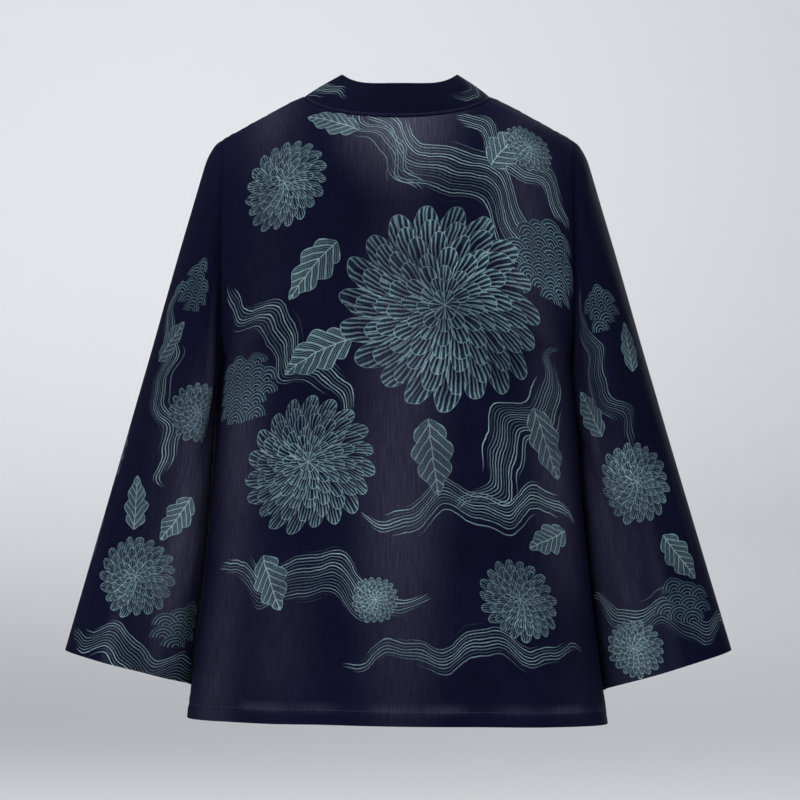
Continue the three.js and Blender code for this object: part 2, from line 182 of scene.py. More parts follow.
@dataclass
class Cloth:
    """A sheet of cloth: points on a grid of rows (down) and columns (across), with the flat
    coordinates of each. A closed sheet's last column of flat coordinates is its first column of
    points, met again from the other side of the seam."""

    points: Array
    flat: Array
    middle: tuple[float, float, float]
    closed: bool = False

    def normals(self) -> Array:
        """Unit normals that point away from the middle: the cross product of the steps to the
        neighbours across and along."""
        if self.closed:
            across = np.roll(self.points, -1, 1) - np.roll(self.points, 1, 1)
        else:
            across = np.gradient(self.points, axis=1)
        normal = unit(np.cross(across, np.gradient(self.points, axis=0)))
        outward = np.sum(normal * (self.points - np.array(self.middle)))
        return normal * np.sign(outward)

    def own_flat(self) -> Array:
        """Flat coordinates with one column for each column of points."""
        return self.flat[:, : self.points.shape[1]]

    def raised(self, lift: Array) -> "Cloth":
        """The sheet with each point moved along its normal by lift."""
        return Cloth(self.points + self.normals() * lift[..., None], self.flat, self.middle, self.closed)

    def creased(self, creases: tuple[Crease, ...]) -> "Cloth":
        """The sheet with all these creases in it."""
        flat = self.own_flat()
        return self.raised(sum((c.lift(flat) for c in creases), np.zeros(flat.shape[:2])))

    def with_turned_edge(self, rows: int, gap: float | Array) -> "Cloth":
        """The sheet with its last edge turned up inside, as a hem.

        The new rows go round half a circle of diameter gap and back up behind the last rows,
        which they repeat a gap further in.

        Args:
            rows: how many rows the turned part covers.
            gap: distance between the two layers, middle to middle, one value or one a column.

        Returns:
            The longer sheet.
        """
        normal = self.normals()
        gap = np.broadcast_to(gap, self.points.shape[1])[:, None]
        edge, out, down = self.points[-1], normal[-1], unit(self.points[-1] - self.points[-2])
        share = np.linspace(0, 1, TURN_ROWS)[1:, None, None]
        turn = np.pi * share
        bend = edge + 0.5 * gap * (out * (np.cos(turn) - 1) + down * np.sin(turn))
        back = (self.points - normal * gap)[-2 : -2 - rows : -1]
        flat_edge, flat_back = self.flat[-1:], self.flat[-2 : -2 - rows : -1]
        flat_bend = flat_edge - 0.5 * np.pi * gap.mean() * share * np.array([0.0, 1.0])
        return Cloth(
            np.concatenate([self.points, bend, back]),
            np.concatenate([self.flat, flat_bend, 2 * flat_edge - flat_back]),
            self.middle,
            self.closed,
        )

    def with_allowance(self, on: Array, inner: Array, depth: float) -> "Cloth":
        """The sheet with a seam allowance before its first row.

        Three more rows run on past the seam, a little inside the neighbour's cloth, so the seam is
        closed from within.

        Args:
            on: the way the allowance runs, one unit vector or one a column.
            inner: the way to the inside of the cloth, a unit vector a column.
            depth: how far inside it lies.

        Returns:
            The longer sheet.
        """
        steps = np.array([1.0, 0.5, 0.12])[:, None, None] * SEAM_ALLOWANCE
        rows = self.points[0] + inner * depth + steps * on
        flat = self.flat[:1] + steps * unit(self.flat[0] - self.flat[1])
        return Cloth(np.vstack([rows, self.points]), np.vstack([flat, self.flat]), self.middle, self.closed)

    def path(self, row: float) -> tuple[Array, Array]:
        """A line across the sheet along a row, or between two.

        Args:
            row: the row to follow.

        Returns:
            Points and normals along the line.
        """
        low = int(row)
        high = min(low + 1, len(self.points) - 1)
        points, normals = (mix(g[low], g[high], row - low) for g in (self.points, self.normals()))
        return points, unit(normals)

    def to_object(self, name: str, dress: list[bpy.types.Material], thickness: float) -> bpy.types.Object:
        """Makes the sheet a mesh object with a wall of even thickness.

        Args:
            name: the object's name.
            dress: the materials of the right side and the wrong side of the cloth.
            thickness: the wall in metres, grown inwards.

        Returns:
            The object, in place in the row frame.
        """
        rows, columns = self.points.shape[:2]
        index = np.arange(rows * columns).reshape(rows, columns)
        if self.closed:
            index = np.hstack([index, index[:, :1]])
        flat_index = np.arange(rows * index.shape[1]).reshape(rows, -1)
        quads, flat_quads = (
            np.stack([k[:-1, :-1], k[1:, :-1], k[1:, 1:], k[:-1, 1:]], axis=-1).reshape(-1, 4)
            for k in (index, flat_index)
        )
        p = self.points.reshape(-1, 3)
        facing = np.cross(p[quads[:, 2]] - p[quads[:, 0]], p[quads[:, 3]] - p[quads[:, 1]])
        if np.sum(facing * (p[quads[:, 0]] - np.array(self.middle))) < 0:
            quads, flat_quads = quads[:, ::-1], flat_quads[:, ::-1]
        made = add_object(name, p, quads, dress)
        layer = made.data.uv_layers.new(name=FLAT_MAP)
        uv = self.flat.reshape(-1, 2)[flat_quads.ravel()]
        layer.uv.foreach_set("vector", uv.astype(np.float32).ravel())
        wall = made.modifiers.new("cloth wall", "SOLIDIFY")
        wall.thickness = thickness
        wall.offset = -1.0
        wall.material_offset = len(dress) - 1
        return made


def arc(points: Array, axis: int) -> Array:
    """Length along the grid from its first line: the running sum of the steps between points."""
    steps = np.linalg.norm(np.diff(points, axis=axis), axis=-1)
    start = np.zeros_like(np.take(steps, [0], axis=axis))
    return np.concatenate([start, np.cumsum(steps, axis=axis)], axis=axis)


# The jacket's form, with the same driving sizes as its solids


class Side(Enum):
    """The wearer's left or right, as a sign along X in a view from behind."""

    LEFT = -1
    RIGHT = 1


class Face(Enum):
    """Which half of the body a panel covers, as a sign along Y."""

    BACK = -1
    FRONT = 1


@dataclass(frozen=True)
class Fold:
    """A soft vertical fold of the body: where it reaches the hem, its spread, how far it stands
    out there, the level where it starts, and its lean."""

    x: float
    spread: float
    rise: float
    top: float
    lean: float


@dataclass(frozen=True)
class Rows:
    """How many grid rows each stretch of a body panel gets."""

    cap: int = 34
    armhole: int = 34
    skirt: int = 96
    hem: int = 6

    def count(self) -> int:
        """Rows from the top edge to the hem's fold."""
        return self.cap + self.armhole + self.skirt + self.hem


# Levels at which the body's half-width and half-depths are given
LEVELS = (0.01, -0.15, -0.29, -0.34, -0.47, -0.57, -0.70)


@dataclass(frozen=True)
class JacketForm:
    """The shape that the cloth hangs in, worked out from a few driving sizes."""

    neck_half: float = 0.104
    shoulder_half: float = 0.195
    slope: float = 0.55
    slope_start: float = 0.098
    slope_softness: float = 0.010
    cap_height: float = 0.100
    neck_drop: float = 0.027
    arm_level: float = -0.150
    armpit: float = -0.290
    hem: float = -0.697
    hem_tilt: float = -0.015
    squareness: float = 2.4
    hem_depth: float = 0.017
    fold_end: float = 0.82
    half: Curve = Curve(LEVELS, (0.195, 0.195, 0.196, 0.200, 0.209, 0.219, 0.236))
    back: Curve = Curve(LEVELS, (0.112, 0.118, 0.117, 0.114, 0.112, 0.116, 0.124))
    front: Curve = Curve(LEVELS, (0.106, 0.118, 0.125, 0.122, 0.118, 0.120, 0.126))
    armhole_back: float = 0.072
    armhole_front: float = 0.075
    front_edge: Curve = Curve(
        (0.0, -0.03, -0.10, -0.18, -0.26, -0.34, -0.70),
        (0.104, 0.100, 0.091, 0.082, 0.076, 0.074, 0.074),
    )
    back_folds: tuple[Fold, ...] = (
        Fold(-0.190, 0.016, -0.0030, -0.42, -0.03),
        Fold(-0.140, 0.024, 0.0050, -0.38, -0.02),
        Fold(-0.084, 0.026, -0.0055, -0.33, -0.02),
        Fold(0.002, 0.044, 0.0050, -0.26, 0.0),
        Fold(0.092, 0.030, -0.0040, -0.36, 0.02),
        Fold(0.152, 0.026, 0.0035, -0.40, 0.03),
    )
    front_folds: tuple[Fold, ...] = (
        Fold(-0.196, 0.017, 0.0030, -0.43, -0.04),
        Fold(-0.150, 0.024, -0.0050, -0.33, -0.05),
        Fold(-0.105, 0.020, 0.0040, -0.30, -0.02),
        Fold(0.108, 0.020, 0.0040, -0.34, 0.02),
        Fold(0.155, 0.025, -0.0050, -0.29, 0.06),
        Fold(0.200, 0.016, 0.0030, -0.45, 0.04),
    )

    def ridge(self, x: Array) -> Array:
        """Height of the shoulder line: level near the neck, then a soft turn into a slope."""
        fall = soft_plus(np.abs(x) - self.slope_start, self.slope_softness)
        return self.slope * (soft_plus(self.neck_half - self.slope_start, self.slope_softness) - fall)

    def depth(self, share: Array, z: Array, face: Face) -> Array:
        """Distance of the cloth from the middle plane.

        A squared-off oval, (1 - share to the power n) to the power 1/n, stands on the armhole's
        own depth, which closes as a quarter circle down to the armpit.

        Args:
            share: x over the half-width.
            z: level.
            face: back or front.

        Returns:
            Depths, positive on both faces.
        """
        full = (self.back if face is Face.BACK else self.front)(z)
        hole = self.armhole_back if face is Face.BACK else self.armhole_front
        down = np.clip((self.arm_level - z) / (self.arm_level - self.armpit), 0, 1)
        edge = hole * np.sqrt(1 - down**2)
        n = self.squareness
        return mix(edge, full, np.maximum(0, 1 - np.abs(share) ** n) ** (1 / n))

    def fold_lift(self, x: Array, z: Array, face: Face) -> Array:
        """How far the soft vertical folds lift the cloth, as bell curves that grow to the hem."""
        fade = 1 - smooth((np.abs(x) / self.half(z) - self.fold_end) / (1 - self.fold_end))
        lift = np.zeros_like(x)
        for fold in self.back_folds if face is Face.BACK else self.front_folds:
            centre = fold.x - fold.lean * (z - self.hem)
            share = smooth((fold.top - z) / (fold.top - self.hem))
            lift = lift + fold.rise * share * np.exp(-(((x - centre) / fold.spread) ** 2))
        return lift * fade

    def panel(
        self,
        shoulder_x: Array,
        across: Callable[[Array], Array],
        start_turn: Array | float,
        face: Face,
        rows: Rows,
    ) -> Cloth:
        """A body panel from its top edge to the fold of its hem.

        A column starts on the shoulder, turned over it by start_turn, rounds a quarter of a
        circle of radius cap_height, and then goes straight down past the armhole to the hem.

        Args:
            shoulder_x: x of each column on the shoulder line.
            across: function from levels, one row of the grid each, to x.
            start_turn: angle over the shoulder where each column starts.
            face: back or front.
            rows: how many rows each stretch gets.

        Returns:
            The sheet, with flat coordinates still measured from the first column.
        """
        top = self.ridge(shoulder_x)
        cap = np.linspace(0, 1, rows.cap + 1)[:, None]
        turn = mix(start_turn, np.pi / 2, cap)
        z_cap = top - self.cap_height * (1 - np.cos(turn))
        z_top = top - self.cap_height
        hem = self.hem + self.hem_tilt * across(np.full((1, len(top)), self.hem))[0]
        armpit = mix(z_top, hem, (self.arm_level - self.armpit) / (self.arm_level - self.hem))
        z_arm = mix(z_top, armpit, np.sin(np.linspace(0, np.pi / 2, rows.armhole + 1)[1:, None]))
        z_skirt = mix(armpit, hem + self.hem_depth, np.linspace(0, 1, rows.skirt + 1)[1:, None])
        z_hem = mix(hem + self.hem_depth, hem, np.linspace(0, 1, rows.hem + 1)[1:, None])
        z = np.vstack([z_cap, z_arm, z_skirt, z_hem])
        turn = np.vstack([turn, np.full((len(z) - len(turn), len(top)), np.pi / 2)])
        x = across(z)
        depth = self.depth(x / self.half(z), z, face) * np.sin(turn) + self.fold_lift(x, z, face)
        points = np.stack([x, face.value * (depth + SEAM_HAIR / 2), z], axis=-1)
        v = -arc(points, 0)
        v = v - v[rows.cap + rows.armhole] + self.armpit
        u = arc(points, 1)
        level = rows.cap + 1
        order = np.argsort(x[level])
        u[:level] = np.interp(x[:level], x[level][order], u[level][order])
        return Cloth(points, np.stack([u, v], axis=-1), BODY_MIDDLE)

@dataclass(frozen=True)
class SleeveFold:
    """A fold along a sleeve: degrees round from the top edge towards the back, spread in degrees,
    rise, and the stretch of the sleeve it runs over."""

    angle: float
    spread: float
    rise: float
    start: float
    end: float


@dataclass(frozen=True)
class SleeveForm:
    """Rings of a sleeve from the armhole (0) to the cuff (12)."""

    side: Side
    folds: tuple[SleeveFold, ...]
    cuff_lift: float
    cuff_out: float
    rows: int = 150
    columns: int = 132
    hem_rows: int = 6
    hem_depth: float = 0.018

    OUT_X = (195, 204, 212.5, 218.5, 228, 243, 259.5, 276, 292, 312, 332.5, 353, 373.5)
    OUT_Z = (-47.7, -55.5, -70, -88, -120, -170, -227, -285, -340, -409, -479, -549.5, -620)
    UNDER_X = (195, 195, 195, 195, 195, 195, 196, 197, 198, 201, 206, 214, 223)
    UNDER_Z = (-290, -291, -293, -296, -300, -308, -320, -340, -368, -441, -516, -590, -664)
    SPLIT = (0.4126, 0.43, 0.45, 0.46, 0.48, 0.5, 0.5, 0.5, 0.5, 0.5, 0.5, 0.5, 0.5)
    BACK = (72, 75, 79, 82, 85, 88, 90, 90, 88, 82, 74, 68, 62)
    FRONT = (75, 77, 80, 83, 86, 88, 90, 90, 88, 82, 74, 68, 62)
    FORWARD = (0, 1, 3, 6, 9, 13, 18, 22, 25, 27, 29, 30, 31)
    LENGTH = 0.62
    CLEARANCE = 0.002
    APART, SOFT, EASE = 0.5, 0.4, 0.3  # where the clearance and its softness set in
    FOLD_IN, FOLD_OUT = 0.25, 0.2
    ROUND = 0.00005
    SHOULDER = (0.210, 0.0, -0.110)
    CUFF = (0.298, 0.031, -0.642)
    MIDDLE = (0.27, 0.02, -0.36)

    def ring(self, values: tuple[float, ...], t: Array) -> Array:
        """One of the tables above, read at a share t of the sleeve, in metres."""
        return Curve(tuple(range(len(values))), values)(t * (len(values) - 1)) / 1000

    def body_side(self, body: JacketForm, y: Array, z: Array) -> Array:
        """Half-width of the body at a depth y, which a hanging sleeve stays clear of."""
        half = body.half(z)
        depth = np.where(y < 0, body.back(z), body.front(z))
        n = body.squareness
        low = half * np.maximum(0, 1 - (np.abs(y) / depth) ** n) ** (1 / n)
        return np.where(z >= body.armpit, half, low)

    def sheet(self, body: JacketForm) -> Cloth:
        """The sleeve as a tube that is closed along the underarm.

        Each ring is an oval in a plane that fans from the armhole to the cuff. A soft maximum
        keeps it clear of the body's side.

        Args:
            body: the form of the body that the sleeve hangs beside.

        Returns:
            The sheet, its flat coordinates measured from the middle of its back face.
        """
        fold = 1 - self.hem_depth / self.LENGTH
        hem = np.linspace(fold, 1, self.hem_rows + 1)[1:]
        t = np.concatenate([np.linspace(0, fold, self.rows), hem])[:, None]
        degrees = np.linspace(-180, 180, self.columns + 1)[None, :-1]
        angle = np.radians(degrees)
        out_x, out_z = self.ring(self.OUT_X, t), self.ring(self.OUT_Z, t)
        under_x, under_z = self.ring(self.UNDER_X, t), self.ring(self.UNDER_Z, t)
        split = self.ring(self.SPLIT, t) * 1000
        height = np.hypot(out_x - under_x, out_z - under_z)
        above = np.where(np.cos(angle) >= 0, split, 1 - split)
        depth = np.where(np.sin(angle) > 0, self.ring(self.BACK, t), self.ring(self.FRONT, t))
        lift = np.zeros((len(t), degrees.shape[1]))
        for fold in self.folds:
            off = (degrees - fold.angle + 540) % 360 - 180
            gone = smooth((t - fold.end) / self.FOLD_OUT)
            stretch = smooth((t - fold.start) / self.FOLD_IN) * (1 - gone)
            lift = lift + fold.rise * stretch * np.exp(-((off / fold.spread) ** 2))
        share = 1 - split + (height * above + lift) * np.cos(angle) / height
        out_share = np.clip(share, 0, 1)
        x = mix(under_x, out_x, share) + self.cuff_out * t**3 * out_share
        z = mix(under_z, out_z, share) + self.cuff_lift * t**3 * (1 - out_share)
        y = self.ring(self.FORWARD, t) - (depth + lift) * np.sin(angle)
        clearance = mix(SEAM_GAP, self.CLEARANCE, smooth((t - self.APART) / self.EASE))
        limit = self.body_side(body, y, z) + clearance
        softness = mix(self.ROUND, self.CLEARANCE, smooth((t - self.SOFT) / self.EASE))
        kept = limit + soft_plus(x - limit, softness)
        kept[0] = body.half(z[0])
        points = np.stack([self.side.value * kept, y, z], axis=-1)
        sided = np.array([self.side.value, 1, 1])
        shoulder, cuff = sided * self.SHOULDER, sided * self.CUFF
        v = -(points - shoulder) @ unit(cuff - shoulder)
        ring = np.concatenate([points, points[:, :1]], axis=1)
        u = arc(ring, 1)
        u = -self.side.value * (u - u[:, [self.columns * 3 // 4]])
        v = np.concatenate([v, v[:, :1]], axis=1)
        return Cloth(points, np.stack([u, v], axis=-1), tuple(sided * self.MIDDLE), closed=True)

# Shader graphs


@dataclass(frozen=True)
class Wire:
    """A value in a shader graph. Each operator adds one Math node."""

    graph: "Graph"
    socket: bpy.types.NodeSocket

    def maths(self, operation: str, *others: "Wire | float") -> "Wire":
        """What a Math node makes of this value and the others."""
        return self.graph.add("Math", self, *others, operation=operation)

    __add__ = partialmethod(maths, "ADD")
    __sub__ = partialmethod(maths, "SUBTRACT")
    __mul__ = partialmethod(maths, "MULTIPLY")
    __truediv__ = partialmethod(maths, "DIVIDE")
    __pow__ = partialmethod(maths, "POWER")
    __abs__ = partialmethod(maths, "ABSOLUTE")
    __gt__ = partialmethod(maths, "GREATER_THAN")
    __lt__ = partialmethod(maths, "LESS_THAN")
    floor = partialmethod(maths, "FLOOR")
    fraction = partialmethod(maths, "FRACT")
    sine = partialmethod(maths, "SINE")
    least = partialmethod(maths, "MINIMUM")
    most = partialmethod(maths, "MAXIMUM")

    def vector(self, operation: str, *others: object) -> "Wire":
        """What a Vector Math node makes of this vector and the others."""
        return self.graph.add("VectorMath", self, *others, operation=operation)

    def ramp(self, start: float, end: object, first: float, last: float, **settings: str) -> "Wire":
        """This value, taken from the range start to end into first to last and held there."""
        return self.graph.add("MapRange", self, start, end, first, last, **settings)

    def blend(self, before: object, after: object, **settings: str) -> "Wire":
        """One value turned into another by this share."""
        return self.graph.add("Mix", self, before, after, **settings)

    def turned(self, angle: object) -> "Wire":
        """This vector turned round Z by an angle."""
        return self.graph.add("VectorRotate", self, None, angle, rotation_type="Z_AXIS")

    def outputs(self) -> list["Wire"]:
        """All outputs of the node that this value comes from."""
        return [Wire(self.graph, socket) for socket in self.socket.node.outputs]


class Graph:
    """A shader or group tree that is written one node at a time."""

    def __init__(self, tree: bpy.types.NodeTree) -> None:
        """Keeps the tree to write into."""
        self.tree = tree

    def add(self, kind: str, *inputs: object, **settings: object) -> Wire:
        """Adds one node with its settings, links and values.

        Args:
            kind: the node's type name without its start, ShaderNode.
            inputs: a wire, a value or None for each of the node's sockets in use, in order.
            settings: the node's own properties.

        Returns:
            The node's first output in use.
        """
        node = self.tree.nodes.new(f"ShaderNode{kind}")
        for name, value in settings.items():
            setattr(node, name, value)
        for socket, value in zip([s for s in node.inputs if s.enabled], inputs):
            if isinstance(value, Wire):
                self.tree.links.new(value.socket, socket)
            elif value is not None:
                socket.default_value = value
        return Wire(self, next(s for s in node.outputs if s.enabled))

    def split(self, vector: Wire) -> list[Wire]:
        """The three coordinates of a vector."""
        return self.add("SeparateXYZ", vector).outputs()


def new_group(
    name: str, vectors: tuple[str, ...], numbers: tuple[str, ...], outputs: tuple[str, ...]
) -> tuple[Graph, list[Wire]]:
    """Starts a node group.

    Args:
        name: the group's name.
        vectors: the names of its vector inputs, which come first.
        numbers: the names of its number inputs.
        outputs: the names of its number outputs.

    Returns:
        The graph to write into, and the wires from its inputs.
    """
    tree = bpy.data.node_groups.new(name, "ShaderNodeTree")
    for key in vectors:
        tree.interface.new_socket(key, in_out="INPUT", socket_type="NodeSocketVector")
    for key in numbers:
        tree.interface.new_socket(key, in_out="INPUT", socket_type="NodeSocketFloat")
    for key in outputs:
        tree.interface.new_socket(key, in_out="OUTPUT", socket_type="NodeSocketFloat")
    entry, graph = tree.nodes.new("NodeGroupInput"), Graph(tree)
    return graph, [Wire(graph, entry.outputs[key]) for key in (*vectors, *numbers)]


def close_group(graph: Graph, *results: Wire) -> bpy.types.NodeTree:
    """Links the results to the group's outputs and returns its tree."""
    outlet = graph.tree.nodes.new("NodeGroupOutput")
    for socket, result in zip(outlet.inputs, results):
        graph.tree.links.new(result.socket, socket)
    return graph.tree


def node_of(tree: bpy.types.NodeTree, kind: str) -> bpy.types.Node:
    """The tree's first node of a kind."""
    return next(node for node in tree.nodes if node.type == kind)


def linear(hex_colour: str) -> tuple[float, float, float, float]:
    """A "#rrggbb" sRGB colour as linear RGBA."""
    parts = (int(hex_colour[i : i + 2], 16) / 255 for i in (1, 3, 5))
    return (*(c / 12.92 if c <= 0.04045 else ((c + 0.055) / 1.055) ** 2.4 for c in parts), 1.0)


# The print: an invented layout of traditional motifs, in millimetres of flat cloth


@dataclass(frozen=True)
class PetalRing:
    """One ring of a chrysanthemum: petals, their reach, the notch between their tips, the offset
    in petals, and the number of fine lines along half a petal."""

    petals: int
    reach: float
    notch: float
    offset: float
    hatch: float


@dataclass(frozen=True)
class Bloom:
    """A chrysanthemum at (u, v), its radius, and how far it is turned, in whole turns."""

    u: float
    v: float
    radius: float
    turned: float


@dataclass(frozen=True)
class Leaf:
    """A lobed leaf from its stalk end at (u, v), its length, and its direction in degrees."""

    u: float
    v: float
    length: float
    degrees: float


@dataclass(frozen=True)
class Stream:
    """A run of water lines from (u, v): direction in degrees, length, half-width, the sway of
    its lines, the length of one sway, and a seed."""

    u: float
    v: float
    degrees: float
    length: float
    half: float
    sway: float
    wave: float
    seed: float


@dataclass(frozen=True)
class Scales:
    """A patch of wave scales round (u, v): its radius and the radius of one scale."""

    u: float
    v: float
    radius: float
    scale: float = 15.0


@dataclass(frozen=True)
class PaintedHighlight:
    """A soft patch of painted highlight round (u, v), dye painted paler for light on cloth that faces the
    lamps or on a fold's ridge: its half-sizes and strength.
    """

    u: float
    v: float
    half_u: float
    half_v: float
    strength: float


@dataclass(frozen=True)
class Layout:
    """Where the motifs and the patches of painted highlight lie on one panel."""

    blooms: tuple[Bloom, ...] = ()
    leaves: tuple[Leaf, ...] = ()
    streams: tuple[Stream, ...] = ()
    scales: tuple[Scales, ...] = ()
    painted_light: tuple[PaintedHighlight, ...] = ()
    bare_half: float = 0.0


LINE = 0.85  # drawn line in millimetres, as fine as the render can show
DRAWN = ("Line", "Fill", "Cover")  # what a motif's group gives: linework, teal filling, its shape
RINGS = (
    PetalRing(19, 1.00, 0.20, 0.0, 3.0),
    PetalRing(18, 0.84, 0.20, 0.5, 3.0),
    PetalRing(17, 0.69, 0.22, 0.2, 2.5),
    PetalRing(14, 0.54, 0.22, 0.6, 2.5),
    PetalRing(12, 0.40, 0.24, 0.1, 2.0),
    PetalRing(9, 0.27, 0.26, 0.5, 2.0),
    PetalRing(6, 0.15, 0.30, 0.3, 1.5),
)
PETAL_SWIRL = 0.045  # whole turns that the petals lean from the middle to the tips
PETAL_SHORT, PETAL_UNEVEN = 0.95, 0.09  # a ring's shortest petal, and how much longer others are
RING_APART = 7.3  # keeps the random petals of one ring apart from the next ring's
PETAL_BLUNT = 2.4  # power of the tip's curve
RIB_LENGTH = 0.30  # fine lines in a petal, as a share of the bloom's radius
PETAL_TONE = 0.12  # filling along a petal's tip, as a share of the bloom's radius
LEAF_WIDTH, LEAF_LOBE = 0.20, 0.085  # half-width and depth of its lobes, as shares of its length
LEAF_LOBES = 3.5  # along each side of a leaf
VEINS, HATCHES, VEIN_SLANT = 7.0, 28.0, -1.15  # a leaf's veins and finer lines, and their slant
WATER_PITCH = 3.6  # millimetres from one line of water to the next
WATER_FADE = 4.0  # millimetres over which a line of water ends
SCALE_RINGS = 4.0  # rings drawn inside one wave scale
BARE_FADE = 22.0  # millimetres over which the band's print sets in


def from_half(value: Wire) -> Wire:
    """Distance of the value's fraction from one half: a sawtooth folded into a triangle wave."""
    return abs(value.fraction() - 0.5)


def bloom_group() -> bpy.types.NodeTree:
    """Group that draws a chrysanthemum from local coordinates (1 at the petal tips; z holds the
    turn) and its radius in millimetres. Each ring of petals covers the rings behind it."""
    g, (local, size) = new_group("Bloom", ("Local",), ("Radius",), DRAWN)
    x, y, own_turn = g.split(local)
    r = local.vector("MULTIPLY", (1, 1, 0)).vector("LENGTH")
    turn = y.maths("ARCTAN2", x) * (0.5 / math.pi) + (r * PETAL_SWIRL + own_turn)
    line = fill = cover = 0.0
    for ring in RINGS:
        place = turn * ring.petals + ring.offset
        number = place.floor() + ring.petals * RING_APART
        chance = g.add("TexWhiteNoise", number, noise_dimensions="1D")
        aside = from_half(place) * 2.0
        reach = chance * (PETAL_UNEVEN * ring.reach) + PETAL_SHORT * ring.reach
        tip = aside**PETAL_BLUNT * -ring.notch + 1.0
        inward = (reach * tip - r) * size
        sideways = (aside * -1.0 + 1.0) * (math.pi / ring.petals) * r * size
        outline = inward.least(sideways).ramp(0.25 * LINE, LINE, 1.0, 0.0)
        rib = from_half(aside * ring.hatch + chance).ramp(0.06, 0.26, 1.0, 0.0)
        fade = inward.ramp(0.0, size * RIB_LENGTH, 0.7, 0.0)
        mark = (outline * (chance * 0.45 + 0.55)).most(rib * fade)
        tone = inward.ramp(0.0, size * PETAL_TONE, 0.7, 0.0)
        inside = inward > 0.0
        line, fill = inside.blend(line, mark), inside.blend(fill, tone)
        cover = cover or inside
    return close_group(g, line, fill, cover)


def leaf_group() -> bpy.types.NodeTree:
    """Group that draws a lobed leaf from local coordinates (x from 0 at the stalk to 1 at the
    tip) and its length: a sine outline with shallow lobes, a midrib and slanted veins."""
    g, (local, length) = new_group("Leaf", ("Local",), ("Length",), DRAWN)
    x, y, _ = g.split(local)
    aside, held = abs(y), g.add("Clamp", x, 0.0, 1.0)
    body = (held**0.8 * math.pi).sine() ** 0.75
    lobes = abs((held * (LEAF_LOBES * math.pi)).sine())
    width = body * (lobes * LEAF_LOBE + LEAF_WIDTH)
    inward = (width - aside) * length
    outline = inward.ramp(0.3 * LINE, LINE, 1.0, 0.0)
    rib = (aside * length).ramp(0.3, 0.8, 1.0, 0.0)
    slant = aside * VEIN_SLANT + x
    vein = from_half(slant * VEINS).ramp(0.03, 0.10, 0.9, 0.0)
    hatch = from_half(slant * HATCHES).ramp(0.08, 0.30, 0.45, 0.0)
    line = outline.most(rib).most(vein.most(hatch))
    inside = inward > 0.0
    tone = (aside / (width + 0.01)).ramp(0.2, 1.0, 0.0, 0.7)
    return close_group(g, line * inside, tone * inside, inside)


def stream_group() -> bpy.types.NodeTree:
    """Group that draws running water: parallel lines on two added sine waves, inside a band that
    opens and closes as half a sine, each line with its own strength and reach."""
    numbers = ("Turn", "Length", "Half", "Sway", "Wave", "Seed")
    g, wires = new_group("Stream", ("Place", "Start"), numbers, DRAWN[:1])
    place, start, turn, length, half, sway, wave, seed = wires
    x, y, _ = g.split(place.vector("SUBTRACT", start).turned(turn))
    band = (g.add("Clamp", x / length, 0.0, 1.0) * math.pi).sine() ** 0.65
    phase = x / wave * (2 * math.pi) + seed
    swing = sway * ((phase * 2.3 + seed).sine() * 0.3 + phase.sine())
    across = y - swing
    count = across / WATER_PITCH
    chance = g.add("TexWhiteNoise", count.floor() + seed, noise_dimensions="1D")
    line = from_half(count).ramp(0.09, 0.21, 1.0, 0.0)
    room = half * band * (chance * 0.45 + 0.62)
    within = (room - abs(across)).ramp(0.0, WATER_FADE, 0.0, 1.0)
    return close_group(g, line * within * (chance**2.0 * 0.75 + 0.22))


def scales_group() -> bpy.types.NodeTree:
    """Group that draws wave scales: rows of overlapping circles half a circle out of step, each
    with rings inside, kept where the circle's own centre lies in a round patch."""
    made = new_group("WaveScales", ("Place", "Centre"), ("Radius", "Scale"), DRAWN)
    g, (place, centre, radius, scale) = made
    x, y, _ = g.split(place)
    row_height, width = scale * 0.5, scale * 2.0
    row = (y / row_height).floor()
    line = fill = cover = 0.0
    for behind in (0.0, 1.0):
        this = row - behind
        shift = (this * 0.5).fraction() * 2.0
        column = (shift * -0.5 + x / width + 0.5).floor()
        middle = g.add("CombineXYZ", (shift * 0.5 + column) * width, this * row_height, 0.0)
        share = place.vector("DISTANCE", middle) / scale
        kept = middle.vector("DISTANCE", centre) < radius
        inside = (share < 1.0) * kept
        mark = from_half(share * SCALE_RINGS).ramp(0.36, 0.47, 0.0, 0.8)
        tone = share.ramp(0.3, 1.0, 0.0, 0.7)
        line, fill = inside.blend(line, mark), inside.blend(fill, tone)
        cover = inside.blend(cover, 1.0)
    return close_group(g, line, fill, cover)


BACK_LAYOUT = Layout(
    blooms=(
        Bloom(52, -276, 114, 0.02),
        Bloom(-98, -448, 76, 0.06),
        Bloom(-126, -132, 50, 0.11),
        Bloom(138, -592, 46, 0.0),
        Bloom(-24, -600, 26, 0.08),
        Bloom(152, -76, 30, 0.03),
    ),
    leaves=(
        Leaf(-50, -312, 84, 202),
        Leaf(-66, -206, 78, 226),
        Leaf(158, -372, 80, -66),
        Leaf(34, -402, 84, -82),
        Leaf(-150, -540, 70, -74),
        Leaf(-42, -78, 62, 158),
        Leaf(104, -118, 66, 58),
        Leaf(198, -500, 58, 212),
    ),
    streams=(
        Stream(-40, -62, -32, 270, 36, 14, 150, 1.3),
        Stream(-215, -548, -14, 260, 30, 12, 128, 1.0),
        Stream(-40, -512, 8, 260, 26, 13, 116, 2.7),
        Stream(-64, -668, 6, 290, 20, 9, 104, 4.1),
        Stream(62, -58, -28, 170, 26, 10, 96, 6.3),
        Stream(-204, -214, -50, 250, 26, 11, 110, 8.8),
        Stream(206, -296, -122, 250, 30, 13, 124, 10.4),
        Stream(30, -150, 128, 130, 20, 8, 84, 12.2),
    ),
    scales=(Scales(172, -204, 40), Scales(-184, -352, 36)),
    # Painted highlights: paler dye at the upper back and down the middle, where the back faces the light,
    # and on a fold's ridge near the lower left hem.
    painted_light=(
        PaintedHighlight(2, -62, 92, 120, 0.95),
        PaintedHighlight(4, -470, 74, 420, 0.4),
        PaintedHighlight(-130, -640, 60, 120, 0.16),
    ),
)
